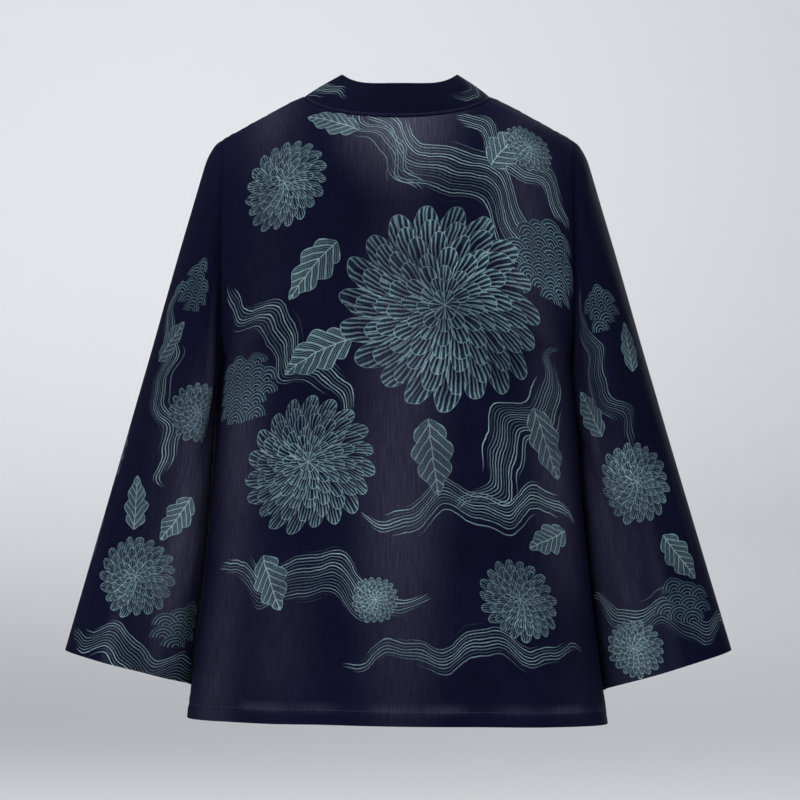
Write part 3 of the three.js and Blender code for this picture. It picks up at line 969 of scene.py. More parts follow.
LEFT_SLEEVE_LAYOUT = Layout(
    blooms=(
        Bloom(-14, -430, 46, 0.04),
        Bloom(26, -238, 34, 0.07),
        Bloom(-134, -300, 52, 0.0),
        Bloom(150, -420, 50, 0.1),
    ),
    leaves=(
        Leaf(-26, -378, 60, 100),
        Leaf(34, -334, 58, -118),
        Leaf(-46, -190, 56, 62),
        Leaf(-130, -420, 64, -84),
    ),
    streams=(
        Stream(-60, -96, -74, 240, 22, 9, 92, 1.9),
        Stream(-92, -498, -14, 210, 26, 10, 96, 3.4),
        Stream(110, -120, -82, 260, 24, 9, 96, 5.2),
        Stream(-160, -180, -78, 300, 24, 9, 104, 7.1),
    ),
    scales=(Scales(46, -486, 26), Scales(-20, -108, 26)),
    # Painted highlights along the ridges of the sleeve's folds.
    painted_light=(PaintedHighlight(25, -420, 18, 190, 0.26), PaintedHighlight(-28, -520, 12, 110, 0.22), PaintedHighlight(38, -200, 12, 170, 0.2)),
)
RIGHT_SLEEVE_LAYOUT = Layout(
    blooms=(
        Bloom(8, -322, 46, 0.09),
        Bloom(-30, -506, 34, 0.02),
        Bloom(-140, -420, 52, 0.05),
        Bloom(140, -260, 50, 0.0),
    ),
    leaves=(
        Leaf(-26, -266, 58, 118),
        Leaf(30, -386, 62, -62),
        Leaf(36, -200, 56, 78),
        Leaf(120, -350, 62, -90),
    ),
    streams=(
        Stream(-50, -96, -72, 200, 22, 9, 88, 2.2),
        Stream(-84, -452, -16, 200, 26, 10, 92, 7.4),
        Stream(-150, -130, -84, 240, 24, 9, 96, 9.1),
        Stream(150, -340, -96, 220, 24, 9, 96, 11.5),
    ),
    scales=(Scales(40, -470, 26), Scales(10, -130, 26)),
    # Painted highlights along the ridges of the sleeve's folds.
    painted_light=(PaintedHighlight(-38, -240, 12, 220, 0.22), PaintedHighlight(14, -440, 16, 160, 0.16)),
)
FRONT_LAYOUT = Layout(
    blooms=(Bloom(96, -250, 62, 0.05), Bloom(110, -520, 70, 0.0), Bloom(190, -120, 44, 0.1)),
    leaves=(Leaf(150, -310, 82, -70), Leaf(60, -400, 84, -100), Leaf(170, -600, 70, 160)),
    streams=(Stream(10, -640, 6, 220, 26, 10, 110, 1.5), Stream(30, -120, -20, 190, 22, 9, 96, 4.5)),
    scales=(Scales(170, -420, 42), Scales(60, -160, 34)),
)
BAND_LAYOUT = Layout(
    blooms=(
        Bloom(-420, 22, 34, 0.0),
        Bloom(-640, 26, 34, 0.06),
        Bloom(430, 24, 34, 0.03),
        Bloom(660, 20, 34, 0.09),
    ),
    streams=(
        Stream(-400, 14, 0, 230, 16, 6, 80, 1.2),
        Stream(-190, 24, 2, 136, 18, 5, 66, 9.9),
        Stream(54, 24, -2, 136, 18, 5, 62, 7.7),
        Stream(180, 20, 0, 220, 16, 6, 84, 3.3),
        Stream(-760, 24, 0, 190, 14, 6, 76, 5.5),
    ),
    bare_half=56.0,
)


def choose_local(g: Graph, place: Wire, motifs: tuple[Bloom | Leaf, ...]) -> tuple[Wire, Wire]:
    """Local coordinates of whichever motif a point lies in, so that one drawing serves them all.

    Args:
        g: the graph to write into.
        place: the point on the flat cloth, in millimetres.
        motifs: blooms or leaves, the last on top.

    Returns:
        The local coordinates (far away outside every motif) and the motif's size.
    """
    local: Wire | tuple[float, float, float] = (9.0, 9.0, 0.0)
    size: Wire | float = 50.0
    for motif in motifs:
        if isinstance(motif, Bloom):
            reach, centre, bound = motif.radius, (0.0, 0.0, motif.turned), 1.05
            own = place.vector("SUBTRACT", (motif.u, motif.v, -motif.turned * reach))
        else:
            reach, centre, bound = motif.length, (0.5, 0.0, 0.0), 0.52
            own = place.vector("SUBTRACT", (motif.u, motif.v, 0.0)).turned(-math.radians(motif.degrees))
        own = own.vector("MULTIPLY", (1 / reach,) * 3)
        inside = own.vector("DISTANCE", centre) < bound
        local = inside.blend(local, own, data_type="VECTOR")
        size = inside.blend(size, reach)
    return local, size


@dataclass
class Motifs:
    """The node groups that draw each kind of motif."""

    bloom: bpy.types.NodeTree = field(default_factory=bloom_group)
    leaf: bpy.types.NodeTree = field(default_factory=leaf_group)
    stream: bpy.types.NodeTree = field(default_factory=stream_group)
    scales: bpy.types.NodeTree = field(default_factory=scales_group)

    def draw(self, g: Graph, place: Wire, layout: Layout) -> tuple[Wire, Wire]:
        """Draws a panel's print.

        Water runs at the bottom, wave scales lie over it, then leaves, then blooms.

        Args:
            g: the material's graph.
            place: the point on the flat cloth, in millimetres.
            layout: where the motifs are.

        Returns:
            How much fine line and how much teal filling there is at the point, 0 to 1 each.
        """
        line: Wire | float = 0.0
        fill: Wire | float = 0.0
        for s in layout.streams:
            values = ((s.u, s.v, 0.0), -math.radians(s.degrees), s.length, s.half, s.sway, s.wave, s.seed)
            line = g.add("Group", place, *values, node_tree=self.stream).most(line)
        covers = [
            g.add("Group", place, (s.u, s.v, 0.0), s.radius, s.scale, node_tree=self.scales)
            for s in layout.scales
        ]
        for motifs, tree in ((layout.leaves, self.leaf), (layout.blooms, self.bloom)):
            if motifs:
                covers.append(g.add("Group", *choose_local(g, place, motifs), node_tree=tree))
        for drawn in covers:
            mark, tone, cover = drawn.outputs()
            line, fill = cover.blend(line, mark), cover.blend(fill, tone)
        if layout.bare_half:
            shown = abs(g.split(place)[0]).ramp(layout.bare_half, layout.bare_half + BARE_FADE, 0.0, 1.0)
            line, fill = line * shown, fill * shown
        return line, fill


# Fabrics


# Each noise: its scale over a millimetre, its detail and its roughness.
SLUBS = (1.0, 3.0, 0.6)
SLUB_STRETCH = (0.55, 0.035, 1.0)  # slubs run along the grain
FADING = (0.012, 3.0, 0.55)
CRUMPLE = (0.09, 3.0, 0.5)
INK_DRIFT = (0.05, 2.0, 0.5)
INK_GRAIN = (0.28, 3.0, 0.6)
INK_PRESS = (0.011, 2.0, 0.5)
DRIFT_MM = 5.0  # how far the drawn lines waver


@dataclass(frozen=True)
class Fabric:
    """Plain-woven cotton, dyed navy, with an optional print.

    The weave is drawn about three times its real thread size, as the real one, near 0.35 mm, is
    finer than a pixel of the render.
    """

    name: str
    ground: str
    roughness: float = 0.86
    sheen: float = 0.04
    sheen_roughness: float = 0.45
    specular: float = 0.06
    ior: float = 1.3
    nap: str = "#4c5080"
    thread_mm: float = 1.05
    bump: float = 0.00022
    teal: str = "#274553"
    ink: str = "#a0c2c7"
    # Colour of the painted light: painted highlights, and edge bands that lift shade.
    painted_light: str = "#48485a"
    strength: float = 1.0

    def set_surface(self, shader: bpy.types.Node) -> None:
        """Sets the shader's constant values."""
        for key, value in (
            ("Roughness", self.roughness),
            ("Sheen Weight", self.sheen),
            ("Sheen Roughness", self.sheen_roughness),
            ("Specular IOR Level", self.specular),
            ("IOR", self.ior),
            ("Sheen Tint", linear(self.nap)),
        ):
            shader.inputs[key].default_value = value

    def light_paint(self, g: Graph, colour: Wire, place: Wire, slubs: Wire, layout: Layout) -> Wire:
        """The dyed ground with painted light: paler in the patches of painted highlight and in the lit
        bands along the edges.

        Args:
            g: the material's graph.
            colour: the dyed ground.
            place: the point on the flat cloth, in millimetres.
            slubs: the yarn's thick places, where the painted light is stronger.
            layout: the panel's layout.

        Returns:
            The colour.
        """
        # Patches of painted highlight, then the bands of painted light along the edges.
        patches = []
        for patch in layout.painted_light:
            off = place.vector("SUBTRACT", (patch.u, patch.v, 0.0))
            off = off.vector("MULTIPLY", (1 / patch.half_u, 1 / patch.half_v, 0.0)).vector("LENGTH")
            share = off.ramp(0.0, 1.0, patch.strength, 0.0, interpolation_type="SMOOTHSTEP")
            patches.append((share, 1.1))
        _, _, edges, _ = g.add("Attribute", attribute_name=PAINTED_LIGHT_ATTRIBUTE).outputs()
        for share, most in (*patches, (edges, 1.2)):
            painted_light_share = share * slubs.ramp(0.25, 0.7, 0.6, most)
            colour = painted_light_share.blend(colour, linear(self.painted_light), data_type="RGBA")
        return colour

    def ink_in(self, g: Graph, colour: Wire, place: Wire, motifs: Motifs, layout: Layout) -> Wire:
        """The ground with the print on it: lines that waver a little and are pressed unevenly.

        Args:
            g: the material's graph.
            colour: the ground.
            place: the point on the flat cloth, in millimetres.
            motifs: the groups that draw the print.
            layout: the panel's layout.

        Returns:
            The colour.
        """
        _, drift = g.add("TexNoise", place, *INK_DRIFT).outputs()
        drift = drift.vector("SUBTRACT", (0.5, 0.5, 0.5)).vector("MULTIPLY", (DRIFT_MM, DRIFT_MM, 0.0))
        line, fill = motifs.draw(g, place.vector("ADD", drift), layout)
        grain = g.add("TexNoise", place, *INK_GRAIN).ramp(0.3, 0.7, 0.65 * self.strength, self.strength)
        press = grain * g.add("TexNoise", place, *INK_PRESS).ramp(0.36, 0.62, 0.5, 1.0)
        for share, ink in ((fill, self.teal), (line, self.ink)):
            colour = (share * press).blend(colour, linear(ink), data_type="RGBA")
        return colour

    def make(self, motifs: Motifs | None = None, layout: Layout | None = None) -> bpy.types.Material:
        """Makes the material.

        Args:
            motifs: the groups that draw the print, or None on plain cloth.
            layout: the panel's layout, or None on plain cloth.

        Returns:
            The material.
        """
        material = bpy.data.materials.new(self.name)
        material.use_nodes = True
        g = Graph(material.node_tree)
        shader = node_of(g.tree, "BSDF_PRINCIPLED")
        self.set_surface(shader)
        place = g.add("UVMap", uv_map=FLAT_MAP).vector("MULTIPLY", (1000.0, 1000.0, 0.0))
        slubs = g.add("TexNoise", g.add("Mapping", place, None, None, SLUB_STRETCH), *SLUBS)
        faded = g.add("TexNoise", place, *FADING)
        tone = slubs.ramp(0.3, 0.7, 0.84, 1.16) * faded.ramp(0.3, 0.7, 0.86, 1.14)
        colour = g.add("RGB")
        colour.socket.default_value = linear(self.ground)
        if motifs and layout:
            # Painted light: highlight patches and paler edge bands, under the print.
            colour = self.light_paint(g, colour, place, slubs, layout)
            colour = self.ink_in(g, colour, place, motifs, layout)
        shade = g.add("CombineXYZ", tone, tone, tone)
        colour = g.add("Mix", 1.0, colour, shade, data_type="RGBA", blend_type="MULTIPLY")
        warp, weft = ((k * (2 * math.pi / self.thread_mm)).sine() for k in g.split(place)[:2])
        height = g.add("TexNoise", place, *CRUMPLE) * 2.2 + (slubs * 1.6 + warp * weft)
        bump = g.add("Bump", 0.5, self.bump).socket
        for wire, socket in (
            (colour.socket, shader.inputs["Base Color"]),
            (height.socket, bump.node.inputs["Height"]),
            (bump, shader.inputs["Normal"]),
        ):
            g.tree.links.new(wire, socket)
        return material


# Navy plain-weave cotton: spun, woven and dyed dark, then printed with pale teal pigment.
PRINTED_COTTON = Fabric("printed_cotton", "#0f1027")
# The wrong side of the same cloth: undyed fibre shows through, so it is greyer, with no print.
WRONG_SIDE = Fabric("cotton_wrong_side", "#1a1b30", sheen=0.05)
# The neck band: the same cotton folded double, pressed flat and almost plain at the nape. Its ground is
# painted darker than the body cloth's, a painted shade that offsets the extra light the upturned band
# catches.
SHADED_BAND_COTTON = Fabric("band_cotton", "#0b0c22", roughness=0.8, strength=0.8)
# Cotton sewing thread, twisted, a shade paler than the cloth and nearly lost in it.
THREAD = Fabric("sewing_thread", "#363b57", roughness=0.7, bump=0.0001)
# A seamless paper sweep, painted a matt pale grey.
PAPER = Fabric("studio_paper", "#dcdde1", roughness=0.95, specular=0.1)


# Stitches


@dataclass(frozen=True)
class Stitch:
    """A run of straight stitches: stitch length, the gap between stitches, and half-thickness."""

    length: float = 0.0026
    gap: float = 0.0013
    half_width: float = 0.00036
    half_height: float = 0.00016
    sides: int = 6
    rings: int = 5

    def run(self, line: Array, normal: Array) -> tuple[Array, Array]:
        """Lays stitches end to end along a line on the cloth.

        Each is a long low dome: rings that swell and shrink as half a sine along the stitch.

        Args:
            line: points along the run.
            normal: the cloth's normals there.

        Returns:
            Vertices and faces of all the stitches.
        """
        steps = np.linalg.norm(np.diff(line, axis=0), axis=1)
        place = np.concatenate([[0.0], np.cumsum(steps)])
        starts = np.arange(self.gap, place[-1] - self.length, self.length + self.gap)
        t = np.linspace(0, 1, self.rings)
        s = starts[:, None] + t * self.length
        at, up = (np.stack([np.interp(s, place, a[:, k]) for k in range(3)], -1) for a in (line, normal))
        up = unit(up)
        aside = unit(np.cross(up, unit(at[:, -1:] - at[:, :1])))
        swell = np.sqrt(np.sin(np.pi * np.clip(t, 0.03, 0.97)))[None, :, None, None]
        turn = np.linspace(0, 2 * np.pi, self.sides, endpoint=False)[:, None]
        ring = aside[:, :, None] * np.cos(turn) * self.half_width
        ring = ring + up[:, :, None] * np.sin(turn) * self.half_height
        vertices = at[:, :, None] + ring * swell
        index = np.arange(vertices[..., 0].size).reshape(vertices.shape[:3])
        return vertices.reshape(-1, 3), ring_quads(index)


STITCH = Stitch()


def sew(name: str, runs: list[tuple[Array, Array]], thread: bpy.types.Material) -> bpy.types.Object:
    """Makes one object of several runs of stitches.

    Args:
        name: the object's name.
        runs: each run's points and normals on the cloth.
        thread: the thread's material.

    Returns:
        The object.
    """
    vertices, faces, count = [], [], 0
    for line, normal in runs:
        points, quads = STITCH.run(line, normal)
        vertices.append(points)
        faces.append(quads + count)
        count += len(points)
    made = add_object(name, np.vstack(vertices), np.vstack(faces), [thread])
    made.data.uv_layers.new(name=FLAT_MAP)
    return made


# The jacket's pieces


def edge_of(flat: Array, side: str) -> Array:
    """The flat coordinates of one edge: "left", "right", "top" or "hem"."""
    return {"left": flat[:, :1], "right": flat[:, -1:], "top": flat[:1], "hem": flat[-1:]}[side]


@dataclass(frozen=True)
class LitEdge:
    """A band of painted light along an edge: its strength, how far in from the edge it lies, its spread,
    and the wavelengths of the waves that break it up."""

    edge: str
    strength: float
    inset: float
    spread: float
    waves: tuple[float, float] = (0.61, 0.37)


# Painted light: near the side edges it lifts the shade in the valley between each sleeve and the body, and
# along the hem it is a painted highlight on the ridge where the turned hem ends.
BODY_LIT_EDGES = (
    LitEdge("left", 0.36, 0.078, 0.030),
    LitEdge("right", 0.36, 0.078, 0.030),
    LitEdge("hem", 0.36, 0.018, 0.0045, (0.170, 0.071)),
)
SLEEVE_LIT_EDGES = (LitEdge("left", 0.38, 0.070, 0.040), LitEdge("right", 0.38, 0.070, 0.040))
LIT_MEAN, LIT_WAVE, LIT_LEAST = 0.6, 0.35, 0.15  # how the waves break up the painted light
ANY_PHASE = 6.28  # a wave may start anywhere in a whole turn
RIPPLES = ((0.00032, 0.013), (0.00022, 0.0087), (0.0003, 0.031))  # height and wavelength
RIPPLE_REACH, RIPPLE_START = 0.010, 0.0018  # the ripples run from beside the seam into the panel
ROLL, ROLL_REACH = 0.0005, 0.0022  # an edge rolls in at its seam
HEM_DIP, HEM_DIP_REACH = 0.0006, 0.0022  # the stitches draw the hem in
HEM_RIPPLE, HEM_WAVE = 0.0003, 0.0093
# The side seam stands out under the sleeve: by how much, at what level, and its reach down and out
UNDERARM_LIFT, UNDERARM_LEVEL, UNDERARM_DOWN, UNDERARM_OUT = 0.0009, -0.301, 0.013, 0.012
BACK_SEED, FRONT_SEED, SLEEVE_SEED, BAND_SEED = 3, 5, 11, 21
BAND_RIPPLE = 0.6  # the band is stiffer, so it ripples less
PINCH_START = 0.97  # where the band's two layers close up towards its ends


def edge_light_share(cloth: Cloth, lit_edges: tuple[LitEdge, ...], seed: int) -> Array:
    """How much painted light pales the dye: a bell curve across each lit edge band, broken up along the
    edge by two added sine waves that are clipped.

    Args:
        cloth: the sheet.
        lit_edges: the edge bands of painted light.
        seed: starts the breaks somewhere else on each piece.

    Returns:
        The share of painted light at each point.
    """
    flat = cloth.own_flat()
    rng = np.random.default_rng(seed)
    share = np.zeros(flat.shape[:2])
    for light_paint in lit_edges:
        off = np.linalg.norm(flat - edge_of(flat, light_paint.edge), axis=-1)
        run = flat[..., 0] if light_paint.edge == "hem" else flat[..., 1]
        waves = sum(np.sin(2 * np.pi * run / w + rng.uniform(0, ANY_PHASE)) for w in light_paint.waves)
        bell = light_paint.strength * np.exp(-(((off - light_paint.inset) / light_paint.spread) ** 2))
        share = np.maximum(share, bell * np.clip(LIT_MEAN + LIT_WAVE * waves, LIT_LEAST, 1))
    return share


def edge_wave(cloth: Cloth, sides: tuple[str, ...], seed: int) -> Array:
    """Lift of the cloth by its seams: it rolls in at a seam, and ripples beside it where the
    stitches draw it up.

    Args:
        cloth: the sheet.
        sides: which edges are sewn: "left", "right", "top" or "hem".
        seed: starts the ripples somewhere else on each piece.

    Returns:
        The lift in metres at each point.
    """
    flat = cloth.own_flat()
    rng = np.random.default_rng(seed)
    lift = np.zeros(flat.shape[:2])
    for side in sides:
        off = np.linalg.norm(flat - edge_of(flat, side), axis=-1)
        run = flat[..., 0] if side in ("top", "hem") else flat[..., 1]
        if side == "hem":
            near = (off - HEM_STITCH) / HEM_DIP_REACH
            ripple = HEM_RIPPLE * np.sin(2 * np.pi * run / HEM_WAVE) * np.exp(-((near / 3) ** 2))
            lift += ripple - HEM_DIP * np.exp(-(near**2))
            continue
        if side in ("left", "right"):
            level = (cloth.points[..., 2] - UNDERARM_LEVEL) / UNDERARM_DOWN
            lift += UNDERARM_LIFT * np.exp(-(level**2) - off / UNDERARM_OUT)
        waves = sum(a * np.sin(2 * np.pi * run / w + rng.uniform(0, ANY_PHASE)) for a, w in RIPPLES)
        lift += waves * np.exp(-off / RIPPLE_REACH) * (1 - np.exp(-off / RIPPLE_START))
        lift -= ROLL * np.exp(-off / ROLL_REACH)
    return lift


def report(name: str, cloth: Cloth) -> None:
    """Logs a finished sheet: its size laid flat, its area and its points."""
    wide, long = np.ptp(cloth.flat, axis=(0, 1))
    p = np.concatenate([cloth.points, cloth.points[:, :1]], 1) if cloth.closed else cloth.points
    across, down = p[1:, 1:] - p[:-1, :-1], p[1:, :-1] - p[:-1, 1:]
    area = 0.5 * np.linalg.norm(np.cross(across, down), axis=-1).sum()
    log.info("%s: %.3f by %.3f m flat, %.4f m2, %d points", name, wide, long, area, p[..., 0].size)


@dataclass(frozen=True)
class Cut:
    """A piece laid flat: width by length in metres, and its area where it isn't a rectangle."""

    size: tuple[float, float]
    area: float | None = None


@dataclass(frozen=True)
class Panel:
    """A panel or sleeve: its node, its cloth, its creases, its cut, and how it is sewn."""

    node: str
    cloth: Cloth
    creases: tuple[Crease, ...]
    cut: Cut
    seed: int
    hem_rows: int
    sewn: tuple[str, ...] = ("left", "right", "top", "hem")
    stitch_rows: tuple[float, ...] = ()

    def build(self, dress: list[bpy.types.Material], thread: bpy.types.Material) -> None:
        """Makes the piece with its creases, seam ripples, turned hem and sewing.

        Args:
            dress: the materials of the right and wrong sides.
            thread: the sewing thread.
        """
        shaped = self.cloth.creased(self.creases)
        shaped = shaped.raised(edge_wave(shaped, self.sewn, self.seed))
        runs = [shaped.path(row) for row in self.stitch_rows]
        # Painted light along the edges, kept on the mesh for the material: lifted shade beside the sleeves
        # and a painted highlight above the hem.
        light_paint = edge_light_share(shaped, SLEEVE_LIT_EDGES if shaped.closed else BODY_LIT_EDGES, self.seed)
        if shaped.closed:
            ring = shaped.points[0]
            inner = unit((ring.mean(0) - ring) * np.array([0.0, 1.0, 1.0]))
            on = np.array([-np.sign(ring[0, 0]), 0.0, 0.0])
            shaped = shaped.with_allowance(on, inner, SLEEVE_DEPTH)
        full = shaped.with_turned_edge(self.hem_rows, HEM_GAP)
        piece = full.to_object(f"{self.node}_cloth", dress, CLOTH_WALL)
        before = len(shaped.points) - len(light_paint)
        after = len(full.points) - len(shaped.points)
        light_paint = np.pad(light_paint, ((before, after), (0, 0)), mode="edge")
        piece.data.attributes.new(PAINTED_LIGHT_ATTRIBUTE, "FLOAT", "POINT").data.foreach_set("value", light_paint.ravel())
        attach(piece, "root")
        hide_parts(self.node)
        sewing = [sew(f"{self.node}_stitches", runs, thread)] if runs else []
        for stitches in sewing:
            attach(stitches, "root")
        report(self.node, full)


@dataclass(frozen=True)
class Collar:
    """The band's free edge round the back of the neck, and its lean down the fronts."""

    half: float = 0.065
    back: float = 0.060
    centre: float = 0.012
    side: float = 0.025
    rise: float = 4.6
    shift: float = 0.003
    shift_end: float = -0.140
    lean: tuple[Curve, Curve, Curve] = tuple(
        Curve((0.0, -0.015, -0.05, -0.11, -0.19, -0.28, -0.70), values)
        for values in (
            (-0.039, -0.041, -0.044, -0.047, -0.049, -0.050, -0.050),
            (0.0, -0.010, -0.006, 0.002, 0.005, 0.006, 0.004),
            (0.025, 0.022, 0.017, 0.009, 0.003, 0.0, 0.0),
        )
    )


@dataclass(frozen=True)
class Jacket:
    """The whole jacket: body panels, sleeves and the neck band."""

    form: JacketForm = JacketForm()
    rows: Rows = Rows()
    collar: Collar = Collar()
    neck_columns: int = 26
    shoulder_columns: int = 44
    front_columns: int = 80
    band_rows: int = 22
    band_crown: float = 0.0016
    band_gap: float = 0.0018
    band_end_gap: float = CLOTH_WALL * 1.1

    def back_cloth(self) -> Cloth:
        """The back panel, its columns by equal angles round the neck and then out to the side."""
        form = self.form
        neck_share = form.neck_half / form.shoulder_half
        inner = neck_share * np.sin(np.linspace(0, np.pi / 2, self.neck_columns + 1))
        neck_end = math.asin(neck_share ** (form.squareness / 2))
        outer = np.linspace(neck_end, np.pi / 2, self.shoulder_columns + 1)[1:]
        half = np.concatenate([inner, np.sin(outer) ** (2 / form.squareness)])
        share = np.concatenate([-half[:0:-1], half])
        x = share * form.shoulder_half
        drop = form.neck_drop * np.sqrt(np.maximum(0, 1 - (x / form.neck_half) ** 2))
        turn = np.arccos(np.clip(1 - (form.ridge(x) + drop) / form.cap_height, -1, 1))
        turn = np.where(np.abs(x) < form.neck_half - 1e-9, turn, 0.0)
        cloth = form.panel(x, lambda z: share * form.half(z), turn, Face.BACK, self.rows)
        cloth.flat[..., 0] -= cloth.flat[:, [len(half) - 1], 0]
        return cloth

    def front_cloth(self, side: Side) -> Cloth:
        """A front panel, from its band seam to the side seam."""
        form = self.form
        share = np.sin(np.linspace(0, np.pi / 2, self.front_columns + 1)) ** (2 / form.squareness)

        def across(z: Array) -> Array:
            """Each column's x at these levels."""
            return side.value * mix(form.front_edge(z), form.half(z), share)

        shoulder = side.value * mix(form.neck_half, form.shoulder_half, share)
        return form.panel(shoulder, across, np.zeros_like(share), Face.FRONT, self.rows)

    def band_edges(self, back: Cloth, front: Cloth, side: Side) -> tuple[Array, Array]:
        """The band's sewn edge and free edge from the middle of the back to one hem.

        The sewn edge follows the panels. Round the neck the free edge is half an oval that rises
        to the sides; down the front it lies at a lean from the sewn edge that changes with level.

        Args:
            back: the back panel.
            front: the front panel on this side.
            side: which side.

        Returns:
            Points of the sewn edge and of the free edge.
        """
        collar = self.collar
        middle = back.points.shape[1] // 2
        nape = back.points[0, middle : middle + side.value * (self.neck_columns + 1) : side.value]
        angle = np.arcsin(np.clip(np.abs(nape[:, 0]) / self.form.neck_half, 0, 1))
        x = collar.shift + side.value * collar.half * np.sin(angle)
        z = collar.centre + (collar.side - collar.centre) * np.sin(angle) ** collar.rise
        top = np.stack([x, -collar.back * np.cos(angle), z], -1)
        seam = front.points[1:, 0]
        z = seam[:, 2]
        shift = collar.shift * (1 - smooth(z / collar.shift_end))
        lean_x, lean_y, lean_z = (curve(z) for curve in collar.lean)
        free = seam + np.stack([side.value * lean_x + shift, lean_y, lean_z], -1)
        return np.vstack([nape, seam]), np.vstack([top, free])

    def band_cloth(self, back: Cloth, fronts: dict[Side, Cloth]) -> Cloth:
        """The neck band's outer layer, from the left hem round the neck to the right hem."""
        left, right = (self.band_edges(back, fronts[side], side) for side in Side)
        seam, free = (np.vstack([a[:0:-1], b]) for a, b in zip(left, right))
        width = np.linalg.norm(free - seam, axis=1)
        share = mix((SEAM_GAP / width)[None], 1.0, np.linspace(0, 1, self.band_rows + 1)[:, None])
        points = mix(seam[None], free[None], share[..., None])
        outward = unit(points * np.array([1.0, 1.0, 0.0]))
        points = points + outward * (self.band_crown * np.sin(np.pi * share))[..., None]
        u = arc(points[[self.band_rows // 2]], 1)
        u = np.repeat(u - u[:, [len(left[0]) - 1]], len(points), axis=0)
        return Cloth(points, np.stack([u, share * width], -1), BODY_MIDDLE)

    def build(self) -> None:
        """Builds and dresses every piece."""
        motifs = Motifs()
        wrong, thread = WRONG_SIDE.make(), THREAD.make()
        back = self.back_cloth()
        fronts = {side: self.front_cloth(side) for side in Side}
        band = self.band_cloth(back, fronts)
        hem = self.rows.hem
        stitches = (self.rows.count() - hem * HEM_STITCH / self.form.hem_depth,)
        Panel("back", back, BACK_CREASES, BACK_CUT, BACK_SEED, hem, stitch_rows=stitches).build(
            [PRINTED_COTTON.make(motifs, BACK_LAYOUT), wrong], thread
        )
        dress = [PRINTED_COTTON.make(motifs, FRONT_LAYOUT), wrong]
        for side, cloth in fronts.items():
            cloth.flat += FRONT_SHIFT[side]
            name, bent = f"front_{side.name.lower()}", FRONT_CREASES[side]
            seed = FRONT_SEED + side.value
            Panel(name, cloth, bent, FRONT_CUT, seed, hem, stitch_rows=stitches).build(dress, thread)
        for form in SLEEVES:
            side = form.side
            name, bent = f"sleeve_{side.name.lower()}", SLEEVE_CREASES[side]
            sheet, seed = form.sheet(self.form), SLEEVE_SEED + side.value
            Panel(name, sheet, bent, SLEEVE_CUT, seed, form.hem_rows, ("top",)).build(
                [PRINTED_COTTON.make(motifs, SLEEVE_LAYOUTS[side]), wrong], thread
            )
        self.build_band(band, motifs, thread)

    def build_band(self, cloth: Cloth, motifs: Motifs, thread: bpy.types.Material) -> None:
        """Makes the neck band, one strip folded double, with its two rows of topstitching.

        Args:
            cloth: its outer layer.
            motifs: the print's drawings.
            thread: the sewing thread.
        """
        shaped = cloth.creased(BAND_CREASES)
        shaped = shaped.raised(edge_wave(shaped, ("top",), BAND_SEED) * BAND_RIPPLE)
        runs = [shaped.path(self.band_rows * off / BAND_WIDTH) for off in BAND_STITCHES]
        on = unit(shaped.points[0] - shaped.points[1])
        shaped = shaped.with_allowance(on, -shaped.normals()[0], BAND_DEPTH)
        stations = np.linspace(-1, 1, cloth.points.shape[1])
        closed = smooth((np.abs(stations) - PINCH_START) / (1 - PINCH_START))
        pinch = mix(self.band_gap, self.band_end_gap, closed)
        full = shaped.with_turned_edge(self.band_rows, pinch)
        piece = full.to_object("neck_band", [SHADED_BAND_COTTON.make(motifs, BAND_LAYOUT)], CLOTH_WALL)
        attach(piece, "root")
        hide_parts("band_neck", "band_left", "band_right")
        stitches = sew("neck_band_stitches", runs, thread)
        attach(stitches, "root")
        report("neck band", full)


SLEEVES = (
    SleeveForm(
        Side.LEFT,
        (
            SleeveFold(73, 15, 0.004, 0.42, 1.1),
            SleeveFold(100, 13, -0.004, 0.36, 1.1),
            SleeveFold(126, 14, 0.004, 0.30, 1.1),
            SleeveFold(150, 12, -0.003, 0.08, 0.55),
            SleeveFold(-80, 16, 0.004, 0.35, 1.1),
            SleeveFold(-115, 14, -0.004, 0.30, 1.1),
        ),
        cuff_lift=0.0055,
        cuff_out=0.0,
    ),
    SleeveForm(
        Side.RIGHT,
        (
            SleeveFold(62, 14, -0.003, 0.50, 1.1),
            SleeveFold(92, 16, 0.0035, 0.40, 1.1),
            SleeveFold(128, 14, -0.003, 0.30, 1.1),
            SleeveFold(150, 12, 0.003, 0.06, 0.60),
            SleeveFold(-70, 15, 0.0035, 0.40, 1.1),
            SleeveFold(-108, 15, -0.004, 0.35, 1.1),
        ),
        cuff_lift=-0.001,
        cuff_out=0.003,
    ),
)
SLEEVE_LAYOUTS = {Side.LEFT: LEFT_SLEEVE_LAYOUT, Side.RIGHT: RIGHT_SLEEVE_LAYOUT}
FRONT_SHIFT = {Side.LEFT: (0.0, 0.0), Side.RIGHT: (0.022, 0.085)}  # so the fronts' prints differ

BACK_CUT = Cut((0.605, 0.785), 0.365)
FRONT_CUT = Cut((0.230, 0.780), 0.128)
SLEEVE_CUT = Cut((0.630, 0.645), 0.232)


def creases(*rows: tuple[float, ...]) -> tuple[Crease, ...]:
    """Creases from rows in millimetres: start u, v, end u, v, width, height and bow."""
    scaled = (np.array(row) / 1000 for row in rows)
    return tuple(Crease(tuple(s[:2]), tuple(s[2:4]), *s[4:]) for s in scaled)


